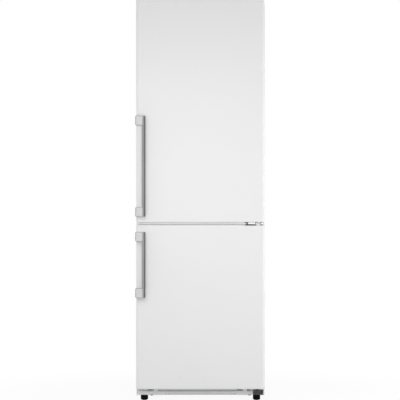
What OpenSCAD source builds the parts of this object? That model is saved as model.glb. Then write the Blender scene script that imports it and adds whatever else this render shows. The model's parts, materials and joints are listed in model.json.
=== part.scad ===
// Free-standing refrigerator with two doors, the cold room above and the freezer below.
// Both doors hang on the right and have upright bar handles on the left.
// X runs to the right, Y to the back and Z up. The origin is on the floor under the middle.

/* [Overall] */
// Width of the cabinet and of both doors
body_w = 595; // [575:1:640]
// Height from the floor to the top of the upper door
total_h = 1855; // [1800:1:1950]
// Depth of the cabinet behind its front face
cabinet_d = 553; // [545:1:620]
// Height of the cabinet's lower edge above the floor
foot_h = 26; // [24:1:30]
// Step from the top of the upper door down to the top of the cabinet
top_step = 18; // [16:1:24]

/* [Doors] */
// Thickness of both doors
door_t = 60; // [54:1:64]
// Space between a closed door and the cabinet, which the seal fills
seal_gap = 12; // [12:0.5:15]
// Height of the lower door above the floor
toe_h = 61; // [59:1:66]
// Height of the lower door
lower_door_h = 754; // [748:1:790]
// Gap between the two doors
door_gap = 16.5; // [15.5:0.5:20]
// Thickness of the steel skins of the doors
skin_t = 1; // [0.6:0.1:1.4]
// Radius of the upright front edges of the doors
front_r = 12; // [6:1:14]
// Radius of the upright rear edges of the doors
rear_r = 6; // [6:0.5:8]
// Width of the skins' returns on the back of the doors
skin_return = 14; // [10:1:18]
// Depth of the end caps inside the skins
cap_plug = 24; // [22:1:30]
// Height of the top cap's rim above the upper door's skin
top_rim = 6; // [4:0.5:9]
// Height of the bottom cap's rim below the lower door's skin
toe_rim = 4; // [3:0.5:6]
// Height of the cover strips in the gap between the doors
strip_h = 4; // [2:0.5:4.5]
// Distance of the cover strips behind the doors' fronts
strip_setback = 3.5; // [2:0.5:8]

/* [Handles] */
// Reach of the handles in front of the doors
handle_reach = 44; // [38:1:56]
// Length of the upper door's handle
upper_handle_l = 463; // [300:1:600]
// Height of the upper handle's lower end above the upper door's edge
upper_handle_rise = 25; // [10:1:60]
// Length of the lower door's handle
lower_handle_l = 302; // [200:1:400]
// Distance of the lower handle's upper end below the lower door's edge
lower_handle_drop = 29; // [10:1:60]
// Width of a handle bar
bar_w = 17.5; // [14:0.5:22]
// Depth of a handle bar
bar_d = 20; // [16:0.5:24]
// Width of the flat front of a handle bar
bar_flat = 11; // [8:0.5:13]
// Width of a handle bracket beside the bar
bracket_w = 30; // [26:1:34]
// Height of a handle bracket
bracket_h = 43; // [36:1:52]
// Overhang of the handle brackets beyond the doors' side
bracket_over = 2.5; // [0:0.5:5]

/* [Hinges] */
// Distance of the hinge axis from the doors' right side
hinge_inset = 32.5; // [31.5:0.5:33.5]
// Distance of the hinge axis in front of the doors' back
hinge_back = 34; // [33:0.5:35]
// Radius of the hinge pins
pin_r = 4; // [3:0.5:5]
// Running clearance between a pin and its bore, on the radius
pin_fit = 0.06; // [0.03:0.01:0.1]
// Depth of the hinge pins in the end caps
pin_depth = 18; // [14:1:20]
// Thickness of the hinge plates
plate_t = 4; // [3:0.5:4.5]
// Radius of the screws
screw_r = 2.5; // [2:0.5:3]

/* [Cabinet] */
// Thickness of the cabinet's sheet steel
sheet_t = 1.2; // [0.8:0.1:1.6]
// Thickness of the plastic liners
liner_t = 2; // [1.6:0.1:2.6]
// Thickness of the side walls of the cold room
fridge_wall = 55; // [50:1:60]
// Thickness of the side walls of the freezer
freezer_wall = 65; // [62:1:70]
// Thickness of the back wall
back_wall = 60; // [54:1:66]
// Thickness of the roof
roof_t = 50; // [46:1:60]
// Thickness of the floor between the two rooms
divider_t = 60; // [58:1:70]
// Thickness of the freezer's floor
floor_t = 60; // [56:1:66]
// Width of the side panels' turned-in front edge
flange_w = 46; // [44:1:48]
// Height of the room behind the freezer for the compressor
niche_h = 198; // [192:1:215]
// Depth of the room for the compressor
niche_d = 200; // [195:1:205]
// Height of the base frame under the freezer's floor
base_h = 26; // [24:1:30]

/* [Seals] */
// Width of the door seals
seal_w = 14; // [10:1:15]
// Distance of the seals from the doors' sides
seal_inset = 34; // [32:1:36]
// Distance of the seals' outer edge beyond the rooms' roof and floor
seal_over = 24; // [20:1:26]
// Clearance of the closed seals and of the pieces that rest on another
seat_gap = 0.3; // [0.2:0.05:0.4]

/* [Cold room] */
// Height of the space for the vegetable drawers
crisper_space = 190; // [180:1:200]
// Thickness of the glass shelves
glass_t = 4; // [3:0.5:5]
// Distance of the shelves behind the cabinet's front
shelf_setback = 87; // [87:1:100]
// Height of the vegetable drawers
crisper_h = 170; // [140:1:175]
// Depth of the vegetable drawers
crisper_d = 300; // [240:1:330]
// Depth of the raised rim on the upper door's liner
dyke_d = 45; // [36:1:48]
// Width of the raised rim on the upper door's liner
dyke_w = 16; // [12:1:18]
// Depth of the door shelves
bin_d = 85; // [70:1:86]
// Height of the two upper door shelves
bin_h = 90; // [70:1:110]
// Height of the bottle shelf
bottle_bin_h = 150; // [120:1:170]
// Thickness of the plastic walls of shelves and drawers
bin_wall = 2.5; // [2:0.1:3.5]

/* [Freezer] */
// Space between a drawer and the freezer's side wall
drawer_gap = 27.5; // [24.5:0.5:52]
// Height of the lowest drawer
low_drawer_h = 180; // [150:1:182]
// Height of the middle drawer
mid_drawer_h = 226; // [190:1:227]
// Height of the top drawer
top_drawer_h = 226; // [190:1:228]
// Depth of the lowest drawer
low_drawer_d = 262; // [220:1:264]
// Depth of the two upper drawers
drawer_d = 375; // [300:1:376]

/* [Feet] */
// Radius of the front feet
foot_r = 17.5; // [14:0.5:20]
// Distance of the front feet from the cabinet's sides
foot_inset = 36; // [34.5:0.5:47]
// Radius of the rear rollers
roller_r = 20; // [16:1:21]
// Width of the rear rollers
roller_w = 20; // [14:1:24]

/* [Hidden] */
$fn = 48;
// Reach of a cut past the face it opens
cut = 1;
// Clearance between pieces that don't touch, and overlap of solids that are joined
clear = 1;
join = 1;
// Number of flats on a rounded edge
edge_steps = 6;

// Front to back
total_d = handle_reach + door_t + seal_gap + cabinet_d;
y_front = -total_d / 2;
y_door = y_front + handle_reach;
y_door_back = y_door + door_t;
y_cab = y_door_back + seal_gap;
y_back = total_d / 2;
// Side to side
half_w = body_w / 2;
fridge_half = half_w - fridge_wall;
freezer_half = half_w - freezer_wall;
flange_x = half_w - flange_w;
seal_x = half_w - seal_inset;
// Heights
z_top = total_h - top_step;
z_base = foot_h + base_h;
z_lower_top = toe_h + lower_door_h;
z_upper = z_lower_top + door_gap;
z_div = z_lower_top + door_gap / 2;
z_ceiling = z_top - roof_t;
z_fridge_floor = z_div + divider_t / 2;
z_freezer_top = z_div - divider_t / 2;
z_freezer_floor = z_base + floor_t;
z_niche = z_base + niche_h;
// Walls of the step over the compressor
step_wall = 55;
z_step = z_niche + step_wall;
y_step = y_back - niche_d - step_wall;
y_room_back = y_back - back_wall;
// Slot behind the foam that holds the condenser's tube
slot_d = 8;
y_foam_back = y_back - sheet_t - slot_d;
// Rails across the cabinet's front
rail_h = 52;
z_rail_low = z_div - rail_h / 2;
z_rail_high = z_div + rail_h / 2;
rail_margin = 8;
roof_margin = 6;
bottom_rail_h = floor_t - rail_margin;
roof_band = roof_t - roof_margin;
// Nose in the gap between the doors
nose_t = 5.5;
nose_setback = 14;
nose_inset = 7.5;
nose_gap = 53;

// Hinge axis
hinge_x = half_w - hinge_inset;
hinge_y = y_door_back - hinge_back;
hinge_arm = 8;
hinge_boss = 9;
top_arm_l = 71;
// Direction of the top hinge's arm, seen from above
arm_turn = 125;
// Pocket in the upper door's corner round the top hinge
pocket_clear = 1.5;
z_pocket = z_top - pocket_clear;
pocket_left = 40;
pocket_front = 22;
// Washer faces of the middle hinge
boss_t = 9;
// Plates screwed to the cabinet's front
bracket_t = 3;
top_plate_w = 66;
top_plate_d = 64;
plate_inset = 6;
cover_drop = 3;
mid_plate_h = door_gap - clear;
// Reach of the hinge plates and arms to the left and right of the axis
mid_plate_reach = 51;
plate_end = 26;
mid_arm_reach = 35;
mid_arm_end = 7;
low_plate_reach = 20;
mid_plate_left = hinge_x - mid_plate_reach;
mid_plate_right = hinge_x + plate_end;
mid_arm_left = hinge_x - mid_arm_reach;
mid_arm_right = hinge_x + mid_arm_end;
low_plate_left = hinge_x - low_plate_reach;
low_plate_right = hinge_x + plate_end;
low_plate_h = 24;
z_low_plate = foot_h + clear;
z_low_top = z_low_plate + low_plate_h;
// Screws of the hinges
screw_fit = 0.1;
screw_hole_r = screw_r + screw_fit;
screw_head_r = 2 * screw_r;
screw_head_t = 2.5;
screw_l = 14;
top_screws = [[-38, 22], [-38, 52], [-8, 52]];
mid_screw_left = 43;
low_screw_left = 13;
screw_right = 18;
mid_screws = [hinge_x - mid_screw_left, hinge_x + screw_right];
low_screws = [hinge_x - low_screw_left, hinge_x + screw_right];

// Doors
seal_rail_gap = 11;
z_seal_rail_high = z_div + seal_rail_gap;
z_seal_rail_low = z_div - seal_rail_gap;
z_seal_top = z_ceiling + seal_over;
z_seal_bottom = z_freezer_floor - seal_over;
seal_depth = seal_gap - seat_gap;
dyke_inset = 21.5;
dyke_x = fridge_half - dyke_inset;
dyke_in = dyke_x - dyke_w;
dyke_gap = 9;
z_dyke_low = z_fridge_floor + dyke_gap;
z_dyke_high = z_ceiling - dyke_gap;
y_dyke = y_door_back + dyke_d;
panel_rise = 10;
panel_edge = 20;
// Lugs on the rim that carry the door shelves
lug_w = 5;
lug_h = 8;
lug_end = 2;
bin_half = dyke_in - seat_gap;
z_bottle_bin = z_dyke_low + dyke_w + seat_gap;
// Heights of the door shelves, as shares of the rim's height
middle_share = 0.355;
top_share = 0.333;
z_middle_bin = z_bottle_bin + middle_share * (z_dyke_high - z_dyke_low);
z_top_bin = z_middle_bin + top_share * (z_dyke_high - z_dyke_low);
lid_pin_y = 8;
y_lid_pin = y_door_back + lid_pin_y;
lid_pin_r = 2.5;
lid_back = 3;
lid_clear = 1.5;
z_lid_pin = z_top_bin + bin_h + lid_back + lid_clear;
strip_end = 60;
// Handles
bar_x = -half_w - bracket_over + bracket_w;
z_upper_bar = z_upper + upper_handle_rise;
z_lower_bar = z_lower_top - lower_handle_drop - lower_handle_l;
y_bar_back = y_front + bar_d;

// Cold room
shelf_x = fridge_half - seat_gap;
y_shelf = y_cab + shelf_setback;
duct_d = 26;
trim_d = 10;
y_duct = y_room_back - duct_d;
y_shelf_back = y_duct - trim_d - clear;
z_cover = z_fridge_floor + crisper_space;
rib_w = 9;
rib_h = 7;
trim_t = 12;
y_crisper = y_shelf + trim_d + clear;
crisper_gap = 4;
housing_h = 42;
housing_half = 160;
housing_d = 130;
z_housing = z_ceiling - housing_h;
shelf_pitch = (z_housing - z_cover) / 4;
y_housing = y_shelf;
knob_x = -85;
knob_r = 17;
knob_d = 14;
knob_shaft_r = 3;
knob_step = 4;
grip_out = 2;
z_knob = z_housing + housing_h / 2;
switch_x = 150;
switch_half = 12;
switch_r = 5;
z_switch = z_dyke_high - dyke_w / 2;
switch_reach = 8.5;
y_switch_box = y_dyke + switch_reach;
lens_left = -30;
lens_right = 120;
// Freezer
drawer_half = freezer_half - drawer_gap;
drawer_setback = 25;
y_drawer = y_cab + drawer_setback;
front_t = 4;
z_low_shelf = z_step;
drawer_head = 9;
z_high_shelf = z_low_shelf + glass_t + mid_drawer_h + drawer_head;
cover_room = 76;
y_cover = y_room_back - cover_room;
cover_t = 3;
air_gap = 12;
y_evaporator = y_cover + cover_t + air_gap;
evaporator_d = 48;
evaporator_rise = 95;
z_evaporator = z_step + evaporator_rise;
evaporator_h = 200;
evaporator_inset = 57.5;
evaporator_half = freezer_half - evaporator_inset;
fin_count = 18;
fin_t = 1.5;
tube_r = 4;
fan_r = 52;
fan_rise = 78;
z_fan = z_evaporator + evaporator_h + fan_rise;
fan_shaft_r = 2.5;
motor_r = 22;
motor_d = 26;
blade_count = 5;
blade_t = 3;
blade_lean = 20;
hub_step = 4;
fan_gap = 6;
y_fan = y_cover + cover_t + fan_gap;
fan_d = 12;

// Feet, rollers and machine room
foot_x = half_w - foot_inset;
foot_setback = 32;
foot_y = y_cab + foot_setback;
foot_bevel = 4.6;
foot_flat = 9;
foot_clear = 3;
stem_r = 5;
stem_fit = 0.05;
stem_end = 6;
stem_top = z_base - stem_end;
nut_r = 12;
roller_inset = 47.5;
roller_x = half_w - roller_inset;
roller_setback = 45;
roller_y = y_back - roller_setback;
axle_r = 3;
cheek_t = 3;
base_sheet = 2;
plinth_d = 10;
plinth_t = 2.5;
plinth_inset = 5.5;
plinth_half = half_w - plinth_inset;
plinth_gap = 22;
plinth_right = hinge_x - plinth_gap;
plinth_end = 132.5;
plinth_step = half_w - plinth_end;
plinth_h = 19;
plinth_top = foot_h + plinth_h;
plinth_raise = 5;
tab_inset = 90.5;
tab_x = half_w - tab_inset;
tab_w = 18;
tab_h = 4;
pad_inset = 70.5;
pad_x = half_w - pad_inset;
pad_r = 9;
pad_rise = 4;
z_pad = foot_h + pad_rise;
comp_x = 70;
comp_setback = 102;
comp_y = y_back - comp_setback;
comp_r = 72;
comp_h = 128;
comp_mount_h = 12;
z_comp = z_base + comp_mount_h;
tray_r = 62;
tray_h = 22;
inlet_inset = 97.5;
inlet_x = -half_w + inlet_inset;
inlet_w = 50;
inlet_h = 28;
inlet_d = 24;
inlet_rise = 40;
z_inlet = z_base + inlet_rise;
pipe_r = 3;
pipe_sides = 6;

// Holes for the hinge screws in the front plates, half way up each plate
z_low_screw = (z_low_plate + z_low_top) / 2;

// Points of an arc, with the angles in degrees
function arc(cx, cy, r, from, to) = [for (i = [0:edge_steps])
    let (a = from + (to - from) * i / edge_steps) [cx + r * cos(a), cy + r * sin(a)]];

// Outline of a door seen from above, drawn in on every side
function door_outline(inset) = rounded_box(-half_w + inset, half_w - inset,
    y_door + inset, y_door_back - inset, front_r - inset, rear_r - inset);

// Outline of a rectangle with one radius on its front corners and one on its rear corners
function rounded_box(x0, x1, y0, y1, rf, rb) = concat(
    arc(x0 + rf, y0 + rf, rf, 180, 270), arc(x1 - rf, y0 + rf, rf, 270, 360),
    arc(x1 - rb, y1 - rb, rb, 0, 90), arc(x0 + rb, y1 - rb, rb, 90, 180));

// Unit vector
function unit(v) = v / norm(v);

// Ring of points round point i of a flat path, whose plane has the given normal
function ring(path, i, r, normal) = let (
    last = len(path) - 1,
    along = unit(path[min(i + 1, last)] - path[max(i - 1, 0)]),
    side = cross(along, normal))
    [for (k = [0:pipe_sides - 1]) let (a = 360 * k / pipe_sides)
        path[i] + r * (cos(a) * side + sin(a) * normal)];

// Block between two corners
module block(x0, x1, y0, y1, z0, z1) {
    translate([x0, y0, z0]) cube([x1 - x0, y1 - y0, z1 - z0]);
}

// Block centred on the middle of the refrigerator
module wide(half, y0, y1, z0, z1) {
    block(-half, half, y0, y1, z0, z1);
}

// Round bars along each axis
module rod_x(y, z, x0, x1, r) {
    translate([x0, y, z]) rotate([0, 90, 0]) cylinder(h = x1 - x0, r = r);
}

module rod_y(x, z, y0, y1, r) {
    translate([x, y0, z]) rotate([-90, 0, 0]) cylinder(h = y1 - y0, r = r);
}

module rod_z(x, y, z0, z1, r) {
    translate([x, y, z0]) cylinder(h = z1 - z0, r = r);
}

// Tube along a flat path
module pipe(path, r, normal) {
    n = pipe_sides;
    last = len(path) - 1;
    points = [for (i = [0:last]) each ring(path, i, r, normal)];
    sides = [for (i = [0:last - 1], k = [0:n - 1]) let (a = i * n + k, b = i * n + (k + 1) % n)
        each [[a, b, b + n], [a, b + n, a + n]]];
    polyhedron(points, concat([[for (k = [n - 1:-1:0]) k]], [[for (k = [0:n - 1]) last * n + k]], sides));
}

// A piece made for the right side, or its mirror image on the left
module on_side(side) {
    if (side < 0) mirror([1, 0, 0]) children();
    else children();
}

// Open box with walls of one thickness
module tray(x0, x1, y0, y1, z0, z1, wall) {
    difference() {
        block(x0, x1, y0, y1, z0, z1);
        block(x0 + wall, x1 - wall, y0 + wall, y1 - wall, z0 + wall, z1 + cut);
    }
}

// Upright ring of one width round an opening
module upright_ring(half, z0, z1, w, y0, y1) {
    difference() {
        wide(half, y0, y1, z0, z1);
        wide(half - w, y0 - cut, y1 + cut, z0 + w, z1 - w);
    }
}

// Space of the cold room, grown on every side
module fridge_space(grow, front) {
    wide(fridge_half + grow, front, y_room_back + grow, z_fridge_floor - grow, z_ceiling + grow);
}

// Space of the freezer, with the step over the compressor, grown on every side
module freezer_space(grow, front) {
    wide(freezer_half + grow, front, y_room_back + grow, z_step - grow, z_freezer_top + grow);
    wide(freezer_half + grow, front, y_step + grow, z_freezer_floor - grow, z_step + grow);
}

// Shanks of every hinge screw, used for the screws and for their holes
module hinge_shanks(r) {
    y = y_cab - bracket_t;
    z = z_top + plate_t;
    for (p = top_screws) rod_z(hinge_x + p[0], y_cab + p[1], z - screw_l, z + cut, r);
    for (x = mid_screws) rod_y(x, z_div, y - cut, y + screw_l, r);
    for (x = low_screws) rod_y(x, z_low_screw, y - cut, y + screw_l, r);
}

// Painted sheet with its front and rear edges turned in
module side_panel(side) {
    color("white") difference() {
        on_side(side) translate([0, 0, foot_h]) linear_extrude(z_top - sheet_t - foot_h) polygon([
            [half_w, y_cab], [half_w, y_back - sheet_t], [half_w - skin_return, y_back - sheet_t],
            [half_w - skin_return, y_back - 2 * sheet_t], [half_w - sheet_t, y_back - 2 * sheet_t],
            [half_w - sheet_t, y_cab + sheet_t], [flange_x, y_cab + sheet_t], [flange_x, y_cab]]);
        hinge_shanks(screw_hole_r);
    }
}

// Top sheet with a turned-down front edge between the side panels
module top_panel() {
    color("white") difference() {
        union() {
            wide(half_w, y_cab, y_back, z_top - sheet_t, z_top);
            wide(flange_x, y_cab, y_cab + sheet_t, z_top - roof_band, z_top - sheet_t / 2);
        }
        hinge_shanks(screw_hole_r);
    }
}

// Back sheet over the machine room
module back_panel() {
    color("gainsboro") {
        wide(half_w, y_back - sheet_t, y_back, z_niche, z_top - sheet_t);
    }
}

// Foam between the sheets and the liners
module insulation() {
    color("khaki") difference() {
        wide(half_w - sheet_t, y_cab + liner_t, y_foam_back, z_base, z_top - sheet_t);
        wide(half_w, y_back - niche_d, y_back, z_base - cut, z_niche);
        fridge_space(liner_t, y_cab - cut);
        freezer_space(liner_t, y_cab - cut);
        hinge_shanks(screw_hole_r);
    }
}

// Front edge of a liner, from one height to another
module liner_lip(z0, z1) {
    wide(flange_x, y_cab, y_cab + liner_t, z0, z1);
}

// Ledges on both side walls
module ledges(half, y0, y1, z) {
    for (side = [-1, 1]) on_side(side) block(half - rib_w, half + liner_t / 2, y0, y1, z - rib_h, z);
}

// Plastic liner of the cold room, with ledges for the shelves
module fridge_liner() {
    color("whitesmoke") {
        difference() {
            union() {
                fridge_space(liner_t, y_cab);
                liner_lip(z_rail_high, z_top - roof_band);
            }
            fridge_space(0, y_cab - cut);
        }
        for (i = [0:3]) ledges(fridge_half, y_shelf, y_shelf_back, z_cover + i * shelf_pitch);
    }
}

// Plastic liner of the freezer, with ledges for the drawer shelves
module freezer_liner() {
    color("whitesmoke") {
        difference() {
            union() {
                freezer_space(liner_t, y_cab);
                liner_lip(z_base + bottom_rail_h, z_rail_low);
            }
            freezer_space(0, y_cab - cut);
        }
        ledges(freezer_half, y_drawer, y_step, z_low_shelf);
        ledges(freezer_half, y_drawer, y_cover - clear, z_high_shelf);
    }
}

// Steel rail between the two rooms, with a nose in the gap of the doors
module centre_rail() {
    color("white") difference() {
        union() {
            wide(flange_x, y_cab, y_cab + liner_t, z_rail_low, z_rail_high);
            block(-half_w + nose_inset, hinge_x - nose_gap, y_door + nose_setback, y_cab,
                z_div - nose_t / 2, z_div + nose_t / 2);
        }
        hinge_shanks(screw_hole_r);
    }
}

// Pressed base with the roller cheeks, the nuts of the feet and an upstand at the front
module base_frame() {
    color("silver") {
        difference() {
            union() {
                wide(half_w - sheet_t, y_cab + liner_t, y_back - 2 * sheet_t, z_base - base_sheet, z_base);
                wide(flange_x, y_cab, y_cab + liner_t, z_base - base_sheet, z_base + bottom_rail_h);
                wide(half_w - sheet_t, y_cab + liner_t, y_cab + 2 * liner_t, foot_h + clear, z_base - join);
                for (side = [-1, 1]) on_side(side) {
                    rod_z(foot_x, foot_y, foot_h + 2 * clear, z_base - join, nut_r);
                    for (end = [-1, 1]) roller_cheek(roller_x + end * (roller_w / 2 + cheek_t));
                }
            }
            for (side = [-1, 1]) on_side(side)
                rod_z(foot_x, foot_y, foot_h, stem_top + clear, stem_r + stem_fit);
            hinge_shanks(screw_hole_r);
        }
        for (side = [-1, 1]) on_side(side) axle();
    }
}

// Axle of a roller through both its cheeks
module axle() {
    reach = roller_w / 2 + 2 * cheek_t;
    rod_x(roller_y, roller_r, roller_x - reach, roller_x + reach, axle_r);
}

// Cheek that holds one end of a roller's axle
module roller_cheek(x) {
    block(x - cheek_t / 2, x + cheek_t / 2, roller_y - roller_r, roller_y + roller_r,
        roller_r - 2 * axle_r, z_base - join);
}

// Kick strip with deeper ends, clips on its upper edge and round pads
module plinth() {
    color("gainsboro") {
        difference() {
            union() {
                block(-plinth_half, plinth_right, y_cab - plinth_d, y_cab, foot_h, plinth_top);
                for (side = [-1, 1]) rod_y(side * pad_x, z_pad, y_cab - plinth_d, y_cab, pad_r);
            }
            wide(plinth_step, y_cab - plinth_d - cut, y_cab + cut, foot_h - cut, foot_h + plinth_raise);
            block(-plinth_half + plinth_t, plinth_right - plinth_t, y_cab - plinth_d + plinth_t, y_cab + cut,
                foot_h - pad_r, plinth_top - plinth_t);
        }
        for (x = [-tab_x, tab_x])
            block(x - tab_w / 2, x + tab_w / 2, y_cab - plinth_d, y_cab - plinth_t,
                plinth_top - join, plinth_top + tab_h);
    }
}

// Plate on the cabinet's top, with an arm and a pin down into the upper door
module top_hinge() {
    color("silver") {
        difference() {
            union() {
                translate([hinge_x, hinge_y, z_top]) rotate(arm_turn)
                    translate([0, -hinge_arm, 0]) cube([top_arm_l, 2 * hinge_arm, plate_t]);
                rod_z(hinge_x, hinge_y, z_top, z_top + plate_t, hinge_boss);
                block(hinge_x - top_plate_w + plate_inset, hinge_x + plate_inset,
                    y_cab + plate_inset, y_cab + top_plate_d, z_top, z_top + plate_t);
            }
            hinge_shanks(screw_hole_r);
        }
        rod_z(hinge_x, hinge_y, z_pocket - pin_depth, z_top + plate_t / 2, pin_r);
    }
}

// Cap over the top hinge's plate and screws
module top_hinge_cover() {
    height = top_step - cover_drop;
    left = hinge_x - top_plate_w;
    right = hinge_x + 2 * plate_inset;
    y_rear = y_cab + top_plate_d + plate_inset;
    color("white") difference() {
        block(left, right, y_cab + clear, y_rear, z_top, z_top + height);
        block(left + bin_wall, right - bin_wall, y_cab - cut, y_rear - bin_wall,
            z_top - cut, z_top + height - bin_wall);
    }
}

// Bracket on the centre rail, with pins up and down between the doors
module middle_hinge() {
    color("white") {
        difference() {
            union() {
                block(mid_plate_left, mid_plate_right, y_cab - bracket_t, y_cab,
                    z_div - mid_plate_h / 2, z_div + mid_plate_h / 2);
                block(mid_arm_left, mid_arm_right, hinge_y - hinge_boss - clear, y_cab - bracket_t / 2,
                    z_div - plate_t / 2, z_div + plate_t / 2);
                rod_z(hinge_x, hinge_y, z_div - boss_t / 2, z_div + boss_t / 2, hinge_boss);
            }
            hinge_shanks(screw_hole_r);
        }
        rod_z(hinge_x, hinge_y, z_lower_top - pin_depth, z_upper + pin_depth, pin_r);
    }
}

// Bracket at the foot of the cabinet, with a pin up into the lower door
module bottom_hinge() {
    color("dimgray") {
        difference() {
            union() {
                block(low_plate_left, low_plate_right, y_cab - bracket_t, y_cab, z_low_plate, z_low_top);
                block(low_plate_left, low_plate_right - 2 * plate_inset, hinge_y - hinge_boss - plate_inset,
                    y_cab - bracket_t / 2, z_low_top - plate_t, z_low_top);
            }
            hinge_shanks(screw_hole_r);
        }
        rod_z(hinge_x, hinge_y, z_low_top - plate_t / 2, toe_h + pin_depth, pin_r);
        rod_z(hinge_x, hinge_y, z_low_top - plate_t / 2, toe_h - clear, hinge_boss);
    }
}

// Screws of all hinges
module hinge_screws() {
    y = y_cab - bracket_t;
    z = z_top + plate_t;
    color("silver") {
        intersection() {
            hinge_shanks(screw_r);
            union() {
                block(0, half_w, y_cab, y_cab + top_plate_d, z - screw_l, z);
                block(0, half_w, y, y_cab + screw_l, z_low_plate, z_rail_high);
            }
        }
        for (p = top_screws) rod_z(hinge_x + p[0], y_cab + p[1], z, z + screw_head_t, screw_head_r);
        for (x = mid_screws) rod_y(x, z_div, y - screw_head_t, y, screw_head_r);
        for (x = low_screws) rod_y(x, z_low_screw, y - screw_head_t, y, screw_head_r);
    }
}

// Glass shelf i, counted upwards, with its plastic front and rear edges
module glass_shelf(i) {
    z = z_cover + i * shelf_pitch;
    color("lightcyan") wide(shelf_x, y_shelf, y_shelf_back, z, z + glass_t);
    color("white") for (y = [y_shelf - trim_d, y_shelf_back])
        wide(shelf_x, y, y + trim_d, z - glass_t, z - glass_t + trim_t);
}

// Duct on the back wall of the cold room, with slots for the cold air
module air_duct() {
    half = 62;
    slot_w = 41.5;
    slot_h = 8;
    // Share of a shelf space below the slot
    slot_share = 0.6;
    low = z_cover + trim_t;
    color("white") difference() {
        wide(half, y_duct, y_room_back, low, z_ceiling);
        wide(half - bin_wall, y_duct + bin_wall, y_room_back - bin_wall,
            low + bin_wall, z_ceiling - bin_wall);
        for (i = [0:3], side = [-1, 1]) {
            x = half - 2 * bin_wall;
            z = z_cover + (i + slot_share) * shelf_pitch;
            on_side(side) block(x - slot_w, x, y_duct - cut, y_duct + bin_wall + cut, z, z + slot_h);
        }
    }
}

// Box under the roof for the thermostat, the lamp and the door switch
module control_housing() {
    color("white") difference() {
        union() {
            wide(housing_half, y_housing, y_housing + housing_d, z_housing, z_ceiling);
            block(switch_x - switch_half, switch_x + switch_half - bin_wall, y_switch_box, y_housing + join,
                z_switch - switch_half, z_ceiling);
        }
        wide(housing_half - bin_wall, y_housing + bin_wall, y_housing + housing_d - bin_wall,
            z_housing + 2 * bin_wall, z_ceiling - bin_wall);
        block(lens_left, lens_right, y_housing + 3 * bin_wall, y_housing + housing_d - 3 * bin_wall,
            z_housing - cut, z_housing + 3 * bin_wall);
        rod_y(knob_x, z_knob, y_housing - cut, y_housing + 2 * bin_wall, knob_shaft_r + pin_fit);
        rod_y(switch_x, z_switch, y_switch_box - cut, y_housing + bin_wall + cut, switch_r + pin_fit);
    }
}

// Clear cover of the lamp, set in the underside of the housing
module light_lens() {
    rim = 3 * bin_wall;
    color("ivory") block(lens_left, lens_right, y_housing + rim, y_housing + housing_d - rim,
        z_housing - cut, z_housing + 2 * bin_wall);
}

// Push pin of the door switch, which the closed door's rim holds in
module door_switch() {
    color("gray") {
        rod_y(switch_x, z_switch, y_dyke + seat_gap, y_switch_box + 2 * switch_half, switch_r);
        rod_y(switch_x, z_switch, y_dyke + seat_gap, y_dyke + seat_gap + grip_out, switch_r + grip_out);
    }
}

// Knob with a grip bar across its face and a shaft into the housing
module thermostat_knob() {
    color("white") {
        rod_y(knob_x, z_knob, y_housing - clear - bin_wall, y_housing - clear, knob_r);
        rod_y(knob_x, z_knob, y_housing - knob_d, y_housing - clear - join, knob_r - knob_step);
        block(knob_x - bin_wall, knob_x + bin_wall, y_housing - knob_d - grip_out, y_housing - knob_d / 2,
            z_knob - knob_r + join, z_knob + knob_r - join);
        rod_y(knob_x, z_knob, y_housing - clear - join, y_housing + 4 * bin_wall, knob_shaft_r);
    }
}

// Open drawer with a thicker front and a grip cut into its upper edge
module drawer(x0, x1, y0, depth, z0, height) {
    grip_share = 0.22;
    grip_half = grip_share * (x1 - x0);
    grip_lip = 3 * front_t;
    front_edge = 2;
    middle = (x0 + x1) / 2;
    z1 = z0 + height;
    tray(x0 + front_edge, x1 - front_edge, y0 + front_t - bin_wall, y0 + depth,
        z0, z1 - 3 * front_t, bin_wall);
    block(x0, x1, y0, y0 + front_t, z0, z1);
    block(middle - grip_half, middle + grip_half, y0 - grip_lip, y0 + join, z1 - 2 * front_t, z1 - front_t);
}

module crisper(side) {
    color("aliceblue") on_side(side)
        drawer(crisper_gap, drawer_half, y_crisper, crisper_d, z_fridge_floor + seat_gap, crisper_h);
}

module freezer_drawer_top() {
    z = z_high_shelf + glass_t + seat_gap;
    color("aliceblue") drawer(-drawer_half, drawer_half, y_drawer, drawer_d, z, top_drawer_h);
}

module freezer_drawer_middle() {
    z = z_low_shelf + glass_t + seat_gap;
    color("aliceblue") drawer(-drawer_half, drawer_half, y_drawer, drawer_d, z, mid_drawer_h);
}

module freezer_drawer_low() {
    z = z_freezer_floor + seat_gap;
    color("aliceblue") drawer(-drawer_half, drawer_half, y_drawer, low_drawer_d, z, low_drawer_h);
}

// Glass plate that carries a freezer drawer
module freezer_shelf(z) {
    color("lightcyan") wide(freezer_half - seat_gap, y_drawer + front_t, y_cover - clear, z, z + glass_t);
}

// Finned block with tubes through it
module evaporator() {
    last = fin_count - 1;
    pitch = 2 * evaporator_half / last;
    reach = evaporator_half + 3 * tube_r;
    row_h = evaporator_h / 4;
    color("silver") {
        for (i = [0:last]) {
            x = -evaporator_half + i * pitch;
            y = i % last == 0 ? y_room_back : y_evaporator + evaporator_d;
            block(x - fin_t / 2, x + fin_t / 2, y_evaporator, y, z_evaporator, z_evaporator + evaporator_h);
        }
        for (row = [0:3], y = [1, 3])
            rod_x(y_evaporator + y * evaporator_d / 4, z_evaporator + row * row_h + row_h / 2,
                -reach, reach, tube_r);
    }
}

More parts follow.
